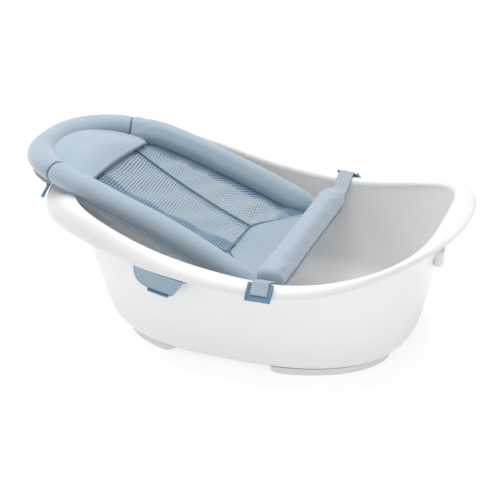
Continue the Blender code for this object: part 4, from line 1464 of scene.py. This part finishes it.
@dataclass
class Headrest:
    """The half-moon pillow inside the head of the hoop, with piping along its front."""

    shop: Workshop
    shape: SlingShape
    front_x: float = -0.2575
    inset: float = 0.0172
    crown: float = 0.0215
    skew: float = 0.006
    stuffing: Stuffing = Stuffing(pressure=3.0, slack=0.0, reach=0.002)

    def front(self, y: float) -> float:
        """The x of the pillow's front edge, which leads a little further forward at the far end."""
        share = y / 0.11
        return self.front_x + self.skew * (share + share * share)

    def outline(self) -> list[Vector]:
        """The pillow's plan, round the head and straight across the front."""
        plan = []
        for point in self.shape.head(self.front_x, 72):
            inward = Vector((self.shape.bend_x - 0.08 - point.x, -point.y, 0.0)).normalized()
            moved = point + inward * self.inset
            lead = max(0.0, 1.0 - (self.front_x - moved.x) / 0.04)
            shift = (self.front(moved.y) - self.front_x) * lead
            plan.append(Vector((min(moved.x, self.front_x) + shift, moved.y, 0.0)))
        across = 36
        line = [plan[-1].lerp(plan[0], i / across) for i in range(1, across)]
        return plan + [Vector((self.front(p.y), p.y, 0.0)) for p in line]

    def tilt(self, x: float) -> float:
        """Height of the pillow's base, which follows the slope of the back."""
        return 0.2603 - 0.25 * (x + 0.289)

    def build(self) -> None:
        """Builds the pillow and its piping."""
        plan, centre = self.outline(), Vector((-0.300, 0.0, 0.0))
        profile = [(keep, 0.0) for keep in (0.12, 0.4, 0.7, 0.9, 0.975)]
        profile += [(0.998, 0.0010), (1.0, 0.0026), (0.998, 0.0045)]
        for i in range(1, 17):
            turn = math.pi / 2 * i / 16
            height = 0.0045 + (self.crown - 0.0045) * math.sin(turn) ** 1.1
            profile.append((math.cos(turn) ** 0.95 if i < 16 else 0.04, height))
        rows, count = [], len(plan)
        for keep, height in profile:
            row = []
            reach = round(count / 9 * max(0.0, height / self.crown - 0.2))
            for i in range(count):
                around = [plan[(i + k) % count] for k in range(-reach, reach + 1)]
                q = centre.lerp(sum(around, Vector()) / len(around), max(keep, 0.04))
                row.append(Vector((q.x, q.y, self.tilt(q.x) + height)))
            rows.append(row)
        piece = add_piece(
            "headrest", grid_mesh("headrest", rows, closed=True, caps=True), self.shop.finish.knit
        )
        loose = piece.vertex_groups.new(name="loose")
        for vertex in piece.data.vertices:
            height = (vertex.co.z - self.tilt(vertex.co.x)) / self.crown
            loose.add([vertex.index], max(0.0, min(1.0, (height - 0.35) / 0.3)), "REPLACE")
        add_modifier(piece, "SMOOTH", factor=0.5, iterations=120, vertex_group="loose")
        plain(piece)
        piece.vertex_groups.clear()

        def sewn(point: Vector) -> float:
            """Firm along the base, and free on the crown."""
            return max(0.0, min(1.0, (0.0065 - (point.z - self.tilt(point.x))) / 0.003))

        self.stuffing.fill(piece, sewn)
        self.shop.deliver(piece, "sling", "padded_fabric", ["headrest_pillow"])
        ends = (plan[-36].y, plan[0].y)
        count = 70
        line = []
        for i in range(count + 1):
            y = ends[0] + (ends[1] - ends[0]) * i / count
            line.append(Vector((self.front(y) + 0.0008, y, self.tilt(self.front(y)) + 0.0026)))
        self.shop.deliver(
            self.shop.cord("headrest_piping", [line], 0.0009, self.shop.finish.thread), "sling",
            "padded_fabric"
        )


@dataclass
class NetPanels:
    """The open net: a back panel, two side panels with painted shade along the sleeves, and a finer seat
    panel.
    """

    shop: Workshop
    shape: SlingShape
    cell: float = 0.0054
    fine_cell: float = 0.0036
    hole: float = 0.62
    thickness: float = 0.0006
    # widths and drop of the painted shade along the net's margins: darker yarn and dark strips, widest by the
    # near seam
    edge_lining: float = 0.017
    back_lining: float = 0.047
    lining_drop: float = 0.0017
    flat_spare: float = 1.02

    def back_rows(self) -> Rows:
        """The back, sagging between its seams, with slack waves across it."""
        rows = []
        for i in range(61):
            x = self.shape.net_start + (-0.0335 - self.shape.net_start) * i / 60
            half, z = self.shape.long_seam(x)
            row = []
            for j in range(33):
                share = -1.0 + j / 16
                y = half * share
                wave = math.sin(math.tau * (0.845 * x - 0.535 * y) / 0.050 + 0.6)
                slack = 0.0021 * wave * (1.0 - abs(share) ** 3) * min(1.0, i / 8, (60 - i) / 8)
                sag = 0.006 * (1.0 - share**2) * min(1.0, i / 12)
                row.append(Vector((x, y, z - sag + slack)))
            rows.append(row)
        return rows

    def side_rows(self, side: Side) -> Rows:
        """A side panel, from the long seam out to the sleeve, with short folds running to the foot."""
        rows = []
        for i in range(73):
            x = self.shape.net_start + (0.0390 - self.shape.net_start) * i / 72
            outer = self.shape.rail(x, side)
            if x < -0.0335:
                half, z = self.shape.long_seam(x)
                inner = Vector((x, side.value * half, z))
            else:
                inner = self.shape.seat_edge((x + 0.0335) / 0.0735, side) + UP * 0.0012
            row = []
            for j in range(17):
                share = j / 16
                point = inner.lerp(outer, share)
                away = side.value * point.y
                fold = math.sin(math.tau * (0.80 * x - 0.60 * away) / 0.038 + 0.9 * math.sin(x * 40.0))
                slack = 0.0022 * fold * math.sin(math.pi * share) ** 0.8 * min(1.0, i / 6, (72 - i) / 6)
                row.append(point - UP * (0.004 * math.sin(math.pi * share) - slack))
            rows.append(row)
        return rows

    def seat_rows(self) -> Rows:
        """The seat, from the cross seam to the foot cushion, with low ribs fanning to the foot."""
        rows = []
        for i in range(33):
            share = i / 32
            left, right = self.shape.seat_edge(share, Side.NEAR), self.shape.seat_edge(share, Side.FAR)
            row = []
            for j in range(65):
                across = j / 64
                bow = math.sin(math.pi * across)
                rib = 0.0006 * math.sin(across * 44.0) * share
                row.append(
                    left.lerp(right, across)
                    + Vector((0.020 * bow * share, 0.0, 0.005 * share - 0.005 * bow + rib))
                )
            rows.append(row)
        return rows

    def band(self, x: float, y: float, kind: str) -> float:
        """How much painted shade darkens the yarn at a point, from 0 to 1, along the seams and sleeves and at
        the side panels' foot ends.
        """
        if kind == "back":
            edge, width = self.shape.long_seam(x)[0] - abs(y), self.back_lining if y < 0 else 0.008
            return 0.55 * max(0.0, min(1.0, (width - edge) / 0.006))
        if kind == "side":
            edge = self.shape.half(x) - abs(y) - 0.0128
            corner = max(0.0, min(1.0, (x + 0.006) / 0.012))
            return 0.6 * max(corner, min(1.0, (self.edge_lining - edge) / 0.005))
        return 0.0

    def build_linings(self) -> None:
        """Dark strips close under the net's sewn margins, painted shade that shows through its holes."""
        strips = {}
        for side in Side:
            rows = []
            for row in self.side_rows(side):
                width = (row[-1] - row[0]).length
                margin = self.edge_lining + 0.09 * max(0.0, row[-1].x + 0.012)
                first = max(0.0, 1.0 - margin / width)
                rows.append([self.between(row, first + (1.0 - first) * k / 6) for k in range(7)])
            strips[f"edge_lining_{side.word}"] = rows
            seam = []
            for row in self.back_rows():
                line = row if side is Side.FAR else list(reversed(row))
                wide = 0.0115 if side is Side.FAR else self.back_lining
                first = max(0.0, 1.0 - wide / (line[-1] - line[0]).length)
                seam.append([self.between(line, first + (1.0 - first) * k / 6) for k in range(7)])
            strips[f"seam_lining_{side.word}"] = seam
        for name, rows in strips.items():
            # painted shade: dark strips just below the net, the one by the near seam wider
            low = [[p - UP * self.lining_drop for p in row] for row in rows]
            tape = add_piece(name, grid_mesh(name, low), self.shop.finish.lining)
            add_modifier(tape, "SOLIDIFY", thickness=0.0004, offset=0.0)
            plain(tape)
            self.shop.deliver(tape, "sling", "mesh_fabric")
            length = sum((b[0] - a[0]).length for a, b in zip(low, low[1:]))

    @staticmethod
    def between(row: list[Vector], share: float) -> Vector:
        """The point at a share of a row's points, from its first to its last."""
        place = share * (len(row) - 1)
        i = min(len(row) - 2, int(place))
        return row[i].lerp(row[i + 1], place - i)

    def lay(self, name: str, rows: Rows, cell: float, kind: str, node: str, turned: bool = False) -> None:
        """Lays one net panel on its surface.

        Args:
            name: The piece's name.
            rows: The surface to lay it on.
            cell: The net's pitch in metres.
            kind: Which panel it is, for its bands of painted shade.
            node: The CAD node that it stands for.
            turned: Whether the surface's rows run the other way round; not used.
        """
        surface = grid_mesh(name + "_surface", rows)
        count, last = len(rows[0]), len(rows) - 1
        shares = surface.attributes.new("share", "FLOAT_VECTOR", "POINT")
        values = [(i / last, j / (count - 1), 0.0) for i in range(last + 1) for j in range(count)]
        shares.data.foreach_set("vector", np.array(values, np.float32).ravel())
        middle = rows[last // 2]
        width = sum((b - a).length for a, b in zip(middle, middle[1:]))
        spine = [row[count // 2] for row in rows]
        length = sum((b - a).length for a, b in zip(spine, spine[1:]))
        cells = {
            "Along": round(length / (cell * 0.866)) + 2, "Across": round(width / cell) + 2, "Hole": self.hole
        }
        net = self.shop.net.grow(name, surface, **cells, Finish=self.shop.finish.net)
        add_modifier(net, "SOLIDIFY", thickness=self.thickness, offset=0.0)
        plain(net)
        # painted shade: each point stores how much its yarn is darkened
        band = net.data.attributes.new("band", "FLOAT", "POINT")
        shares = [self.band(v.co.x, v.co.y, kind) for v in net.data.vertices]
        band.data.foreach_set("value", np.array(shares, np.float32))
        net.data.shade_flat()
        self.shop.deliver(net, "sling", "mesh_fabric", [node])
        widest = max(sum((b - a).length for a, b in zip(row, row[1:])) for row in rows)

    def build_seams(self) -> None:
        """Dark overlock along the two long seams and the bound cross seam round the seat."""
        long_lines = []
        for side in Side:
            line = []
            for i in range(60):
                x = -0.2640 + (0.2640 - 0.0350) * i / 59
                half, z = self.shape.long_seam(x)
                line.append(Vector((x, side.value * half, z + 0.0012)))
            long_lines.append(line)
        cords = self.shop.cord("long_seam_cords", long_lines, 0.0012, self.shop.finish.thread)
        self.shop.deliver(cords, "sling", "mesh_fabric")
        over = self.shop.stitches(
            "long_seam_stitches", long_lines, 0.0042, 0.0072, 0.0013, math.radians(62.0)
        )
        self.shop.deliver(over, "sling", "mesh_fabric")
        corners = [
            self.shape.seat_edge(1.0, Side.NEAR), self.shape.seat_edge(
                0.45, Side.NEAR
            ), self.shape.seat_edge(0.06, Side.NEAR),
            Vector((-0.0350, -0.030, 0.1445)), Vector((-0.0350, 0.030, 0.1445)),
            self.shape.seat_edge(
                0.06, Side.FAR
            ), self.shape.seat_edge(0.45, Side.FAR), self.shape.seat_edge(1.0, Side.FAR),
        ]
        line = [p + UP * 0.0018 for p in rounded_path(corners, 120)]
        binding = self.shop.cord("seat_binding", [line], 0.0010, self.shop.finish.thread)
        self.shop.deliver(binding, "sling", "mesh_fabric")
        stitches = self.shop.stitches(
            "seat_binding_stitches", [line], 0.0040, 0.0056, 0.0010, math.radians(70.0)
        )
        self.shop.deliver(stitches, "sling", "mesh_fabric")

    def build(self) -> None:
        """Builds the four panels and their seams."""
        self.lay("back_net", self.back_rows(), self.cell, "back", "back_mesh")
        for side in Side:
            self.lay(
                f"side_net_{side.word}", self.side_rows(side), self.cell, "side", f"side_mesh_{side.word}"
            )
        self.lay("seat_net", self.seat_rows(), self.fine_cell, "seat", "seat_mesh")
        # dark strips that paint shade under the net's margins
        self.build_linings()
        self.build_seams()


@dataclass
class FootCushion:
    """The padded roll round the foot bar, with a welt and a dark seam along its lower foot side."""

    shop: Workshop
    shape: SlingShape
    middle_y: float = -0.0115
    half_length: float = 0.1735
    width: float = 0.0225
    rise: float = 0.0180
    sides: int = 44
    stuffing: Stuffing = Stuffing(pressure=3.0, slack=0.002, reach=0.0015)

    def seam_turn(self) -> float:
        """The turn round the roll at which the welt leaves it, below its foot side."""
        return -math.atan2(0.60, 0.80)

    def size_at(self, y: float) -> float:
        """The roll's size along it: full between its ends, and closing in a rounded end."""
        end = max(0.0, (abs(y) - 0.92) / 0.08)
        return max(0.30, math.sqrt(max(0.0, 1.0 - end**2.4)))

    def build(self) -> None:
        """Builds the roll, its welt and seam."""
        rows, steps = [], 96
        for i in range(steps + 1):
            y = -math.cos(math.pi * i / steps) * 0.35 + (2.0 * i / steps - 1.0) * 0.65
            size = self.size_at(y)
            row = []
            for j in range(self.sides):
                turn = math.tau * j / self.sides
                pinch = 1.0 + 0.07 * max(0.0, math.cos(turn - self.seam_turn())) ** 10
                across = math.copysign(abs(math.cos(turn)) ** 0.92, math.cos(turn))
                height = math.copysign(abs(math.sin(turn)) ** 0.92, math.sin(turn))
                dent = 0.0003 * math.sin(y * 11.0) * math.sin(turn * 2.0 + y * 9.0)
                place = (
                    self.width * size * pinch * across,
                    self.rise * (0.35 + 0.65 * size) * pinch * height + dent
                )
                row.append(
                    Vector(
                        (
                            self.shape.bar_x + place[0],
                            self.middle_y + y * self.half_length,
                            self.shape.bar_z + place[1],
                        )
                    )
                )
            rows.append(row)
        piece = add_piece(
            "foot_roll", grid_mesh("foot_roll", rows, closed=True, caps=True), self.shop.finish.knit
        )
        slope = Vector((0.80, 0.0, -0.60))

        def sewn(point: Vector) -> float:
            """Firm at the two ends and along the welt."""
            end = (abs(point.y - self.middle_y) - self.half_length * 0.965) / 0.004
            around = (point - Vector((self.shape.bar_x, point.y, self.shape.bar_z))).normalized().dot(slope)
            return max(0.0, min(1.0, max(end, (around - 0.975) / 0.015)))

        self.stuffing.fill(piece, sewn)
        self.shop.deliver(piece, "sling", "padded_fabric", ["foot_cushion"])
        self.build_welt(slope)

    def build_welt(self, slope: Vector) -> None:
        """The flat welt, turned in at both ends, and the dark line where it is sewn on."""
        rows, line, steps = [], [], 110
        face = Vector((0.60, 0.0, 0.80))
        for i in range(steps + 1):
            y = (-0.97 + 1.94 * i / steps) * self.half_length
            end = max(0.0, (abs(y) / self.half_length - 0.86) / 0.11)
            reach = 0.0212 - 0.0075 * end**2
            wide = 0.0080 - 0.0040 * end**2
            root = Vector((self.shape.bar_x, self.middle_y + y, self.shape.bar_z)) + slope * reach
            wave = 0.0003 * math.sin(i * 0.6)
            section = ((0.0, 0.0011), (0.3, 0.0008), (0.7, 0.0013), (1.0, 0.0006))
            ring = [root + slope * wide * s + face * (t + wave) for s, t in section]
            ring += [root + slope * wide * s + face * (wave - t) for s, t in reversed(section)]
            rows.append(ring)
            line.append(root + slope * 0.0008 + face * 0.0012)
        welt = add_piece(
            "foot_roll_welt", grid_mesh("foot_roll_welt", rows, closed=True, caps=True), self.shop.finish.knit
        )
        subdivide(welt)
        self.shop.deliver(plain(welt), "sling", "padded_fabric", ["cushion_welt"])
        self.shop.deliver(
            self.shop.cord("foot_roll_seam", [line], 0.0007, self.shop.finish.thread), "sling",
            "padded_fabric"
        )


# Clips and straps


@dataclass(frozen=True)
class ClipKind:
    """The sizes of one kind of clip, and where it sits on the lip."""

    width: float
    length: float
    upper: float
    turn: float
    lift: float
    bead: bool


@dataclass
class Clips:
    """The four rim clips and the straps that join them to the sling."""

    shop: Workshop
    basin: BasinShape
    sling: SlingShape
    front: ClipKind = ClipKind(0.040, 0.030, 0.012, math.radians(38.0), 0.0012, False)
    head: ClipKind = ClipKind(0.026, 0.026, 0.012, math.radians(24.0), 0.0012, True)
    front_x: float = 0.0885
    head_angle: float = 14.0
    strap: float = 0.0016

    def clip_mesh(self, kind: ClipKind) -> bpy.types.Object:
        """A channel clip in its own frame: a floor plate, two rounded side walls and a lower lip."""
        middle, edge = kind.length / 2 - kind.upper, kind.length - kind.upper
        clip = add_piece(
            "clip", block("clip", (kind.width, kind.length, 0.0026), (0.0, middle, 0.0013), 0.0008)
        )
        parts = []
        for side in (-1, 1):
            place = (side * (kind.width / 2 - 0.0017), middle, 0.0028)
            parts.append(block("wall", (0.0034, kind.length - 0.001, 0.0050), place, 0.0012))
        parts.append(
            block("stop", (kind.width - 0.003, 0.0020, 0.0034), (0.0, edge - 0.0014, 0.0019), 0.0006)
        )
        if kind.bead:
            parts.append(rod_mesh("bead", 0.0032, kind.width * 0.7, (0.0, edge + 0.0012, 0.0024), 24))
        for part in parts:
            cut_or_join(clip, add_piece("clip_part", part), "UNION")
        return clip

    def strap_rows(self, line: list[Vector], across: list[Vector], width: float) -> Rows:
        """A flat tape with softly rounded edges, as closed rings."""
        rows, half = [], self.strap / 2
        section = (
            (-1.0, 0.0), (-0.985, 0.8), (-0.94, 1.0), (-0.5, 1.06), (0.0, 1.0), (0.5, 1.06), (0.94, 1.0),
            (0.985, 0.8), (1.0, 0.0)
        )
        for point, side, ahead in zip(line, across, directions(line)):
            face = side.cross(ahead).normalized()
            ring = [point + side * (s * width / 2) + face * (t * half) for s, t in section]
            ring += [point + side * (s * width / 2) - face * (t * half) for s, t in reversed(section[1:-1])]
            rows.append(ring)
        return rows

    def tape(self, name: str, line: list[Vector], across: list[Vector], width: float) -> bpy.types.Object:
        """A strap along a line."""
        mesh = grid_mesh(name, self.strap_rows(line, across, width), closed=True, caps=True)
        return sharpen(add_piece(name, mesh, self.shop.finish.tape), 60.0)

    def bend(self, piece: bpy.types.Object, body: str, place: Matrix, fold: float, nodes: list[str]) -> None:
        """Moves a strap to the object's middle and hides the CAD nodes it stands for; it is not bent or
        attached to the clip's body.

        Args:
            piece: The strap.
            body: The clip's body, named only in the log.
            place: The clip's frame.
            fold: How far before the clip's hinge line a bend would start, in metres; the point there is
                worked out and not used.
            nodes: The CAD nodes that the strap stands for.
        """
        shift = Matrix.Translation((MIDDLE_X, 0.0, 0.0))
        piece.data.transform(shift)
        start, end = shift @ place @ Vector((0.0, -fold, 0.0)), shift @ place @ Vector((0.0, 0.0, 0.0))
        tuple(start)
        tuple(end)
        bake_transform(piece)
        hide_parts(*nodes)
        log.info("%s bends from sling to %s", piece.name, body)

    def build_front(self, side: Side) -> None:
        """A wide clip beside the foot cushion, with its strap over the rim."""
        kind, word = self.front, f"front_{side.word}"
        place = self.basin.lip_frame(
            self.basin.rim_angle_at(self.front_x, side, kind.turn), kind.turn, kind.lift
        )
        clip = self.clip_mesh(kind)
        clip.data.transform(place)
        clip.data.materials.clear()
        clip.data.materials.append(self.shop.finish.clip)
        clip.name = f"rim_clip_{word}"
        self.shop.deliver(sharpen(clip, 40.0), f"clip_{word}", "clip_plastic", [f"clip_{word}"])
        x, y, rise = self.sling.bar_x + 0.004, side.value, 0.0026 + self.sling.gap + self.strap / 2
        line = [
            Vector((x, y * 0.1840 if side is Side.NEAR else 0.1560, 0.1775)), Vector((x, y * 0.1880, 0.1800)),
            Vector((x, y * 0.1970, 0.1846)), Vector((x, y * 0.2080, 0.1900)), place @ Vector(
                (0.0, -0.0140, rise + 0.0004)
            ),
            place @ Vector((0.0, -0.0110, rise)), place @ Vector((0.0, 0.0, rise)),
            place @ Vector((0.0, 0.0075, rise)), place @ Vector((0.0, 0.0088, rise)),
        ]
        path = rounded_path(line, 64, 2)
        rim_x = (place.to_3x3() @ Vector((1.0, 0.0, 0.0))).normalized()
        bar_x = Vector((math.copysign(1.0, rim_x.x), 0.0, 0.0))
        across = [bar_x.lerp(rim_x, min(1.0, i / 40)).normalized() for i in range(64)]
        strap = self.tape(f"rim_strap_{word}", path, across, 0.0265)
        nodes = [f"strap_{word}", f"strap_end_{word}"]
        self.bend(strap, f"clip_{word}", place @ Matrix.Translation((0.0, -0.0125, 0.0)), 0.004, nodes)
        bar = [
            place @ Vector((s * 0.0120, 0.0072, rise + self.strap / 2)) for s in (-1.0, -0.5, 0.0, 0.5, 1.0)
        ]
        stitches = self.shop.stitches(f"strap_stitches_{word}", [bar], 0.0024, 0.0017, 0.0005)
        self.shop.deliver(stitches, f"clip_{word}", "webbing")

    def build_head(self, side: Side) -> None:
        """A small clip at the head, under its strap, which bulges outward."""
        kind, word = self.head, f"head_{side.word}"
        place = self.basin.lip_frame(math.radians(180.0 - side.value * self.head_angle), kind.turn, kind.lift)
        clip = self.clip_mesh(kind)
        clip.data.transform(place)
        clip.data.materials.clear()
        clip.data.materials.append(self.shop.finish.clip)
        clip.name = f"rim_clip_{word}"
        self.shop.deliver(sharpen(clip, 40.0), f"clip_{word}", "clip_plastic", [f"clip_{word}"])
        rise = 0.0026 + self.sling.gap + self.strap / 2
        upper_end = place @ Vector((0.0, -0.0135, 0.0036))
        outward = Vector((upper_end.x, upper_end.y, 0.0)).normalized()
        along = Vector((-outward.y, outward.x, 0.0))
        top = Vector((-0.3450, side.value * 0.0850, 0.2680))
        line = [
            top, top.lerp(upper_end, 0.4) + outward * 0.014, top.lerp(upper_end, 0.85) + outward * 0.015,
            upper_end + outward * 0.008, place @ Vector((0.0, -0.0095, rise + 0.0035)),
            place @ Vector((0.0, -0.0020, rise)), place @ Vector((0.0, 0.0060, rise)),
        ]
        path = rounded_path(line, 56, 2)
        rim_x = (place.to_3x3() @ Vector((1.0, 0.0, 0.0))).normalized()
        if along.dot(rim_x) < 0:
            along.negate()
        across = [along.lerp(rim_x, min(1.0, i / 34)).normalized() for i in range(56)]
        strap = self.tape(f"rim_strap_{word}", path, across, 0.0165)
        nodes = [f"strap_{word}", f"strap_end_{word}"]
        self.bend(strap, f"clip_{word}", place @ Matrix.Translation((0.0, -0.0115, 0.0)), 0.004, nodes)

    def build(self) -> None:
        """Builds all four clips and straps."""
        for side in Side:
            self.build_front(side)
            self.build_head(side)


# Stage


@dataclass
class Stage:
    """A pale floor, soft studio light, and the camera."""

    azimuth: float = 20.18
    elevation: float = 26.19
    distance: float = 2.2774
    lens: float = 96.48
    target: Vector = Vector((0.0008, 0.0139, 0.1221))

    def build_floor(self) -> None:
        """A wide pale floor."""
        rows = [[Vector((x, y, -0.0004)) for x in (-14.0, 14.0)] for y in (-14.0, 14.0)]
        graph = Graph("floor_paint")
        white = (0.93, 0.93, 0.93)
        graph.feed(Base_Color=white, Roughness=0.9, Specular_IOR_Level=0.1)
        graph.feed(Emission_Color=(1.0, 1.0, 1.0), Emission_Strength=0.38)
        floor = add_piece("floor", grid_mesh("floor", rows), graph.material)

    def area(self, name: str, place: Vector, size: float, watts: float) -> None:
        """A square soft light that faces the object."""
        data = bpy.data.lights.new(name, "AREA")
        data.size = size
        data.energy = watts
        lamp = bpy.data.objects.new(name, data)
        bpy.context.scene.collection.objects.link(lamp)
        lamp.location = place
        lamp.rotation_euler = (self.target - place).to_track_quat("-Z", "Y").to_euler()

    def build_light(self) -> None:
        """An even surround, with soft lights high at the head, straight above, and low on the near side."""
        world = bpy.data.worlds.new("studio")
        bpy.context.scene.world = world
        world.use_nodes = True
        sky = world.node_tree.nodes["Background"]
        sky.inputs["Color"].default_value = (1.0, 1.0, 1.0, 1.0)
        sky.inputs["Strength"].default_value = 0.50
        self.area("key", Vector((-2.1, 0.8, 2.2)), 1.6, 30.0)
        self.area("fill", Vector((1.0, -2.1, 1.6)), 1.6, 7.0)
        self.area("top", Vector((0.1, 0.1, 2.6)), 1.5, 48.0)
        bpy.context.scene.view_settings.view_transform = "Standard"

    def build_camera(self) -> None:
        """The camera, square on to its line of sight."""
        turn, rise = math.radians(self.azimuth), math.radians(self.elevation)
        ahead = Vector((-math.sin(turn) * math.cos(rise), math.cos(turn) * math.cos(rise), -math.sin(rise)))
        data = bpy.data.cameras.new("camera")
        data.sensor_width = 36.0
        data.lens = self.lens
        data.clip_start, data.clip_end = 0.05, 60.0
        camera = bpy.data.objects.new("camera", data)
        bpy.context.scene.collection.objects.link(camera)
        camera.location = self.target - ahead * self.distance
        camera.rotation_euler = ahead.to_track_quat("-Z", "Y").to_euler()
        bpy.context.scene.camera = camera

    def build(self) -> None:
        """Builds the stage."""
        self.build_floor()
        self.build_light()
        self.build_camera()


def dress_frame(shop: Workshop) -> None:
    """Gives the hidden wire frame its coated steel."""
    for node in ("frame_hoop", "foot_rod", "frame_ferrule_near", "frame_ferrule_far"):
        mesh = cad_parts[node].data
        mesh.materials.clear()
        mesh.materials.append(shop.finish.wire)


def main() -> None:
    """Builds the whole object and its stage."""
    logging.basicConfig(level=logging.INFO, format="%(name)s: %(message)s")
    shop, basin, sling = Workshop(), BasinShape(), SlingShape()
    Stage().build()
    Basin(shop, basin).build()
    SideFlap(shop, Vector((-0.080, -0.229, 0.188)), Vector((0.092, -0.0066, -0.0137))).build()
    dress_frame(shop)
    Sleeves(shop, sling).build()
    Headrest(shop, sling).build()
    NetPanels(shop, sling).build()
    FootCushion(shop, sling).build()
    Clips(shop, basin, sling).build()


if __name__ == "__main__":
    main()
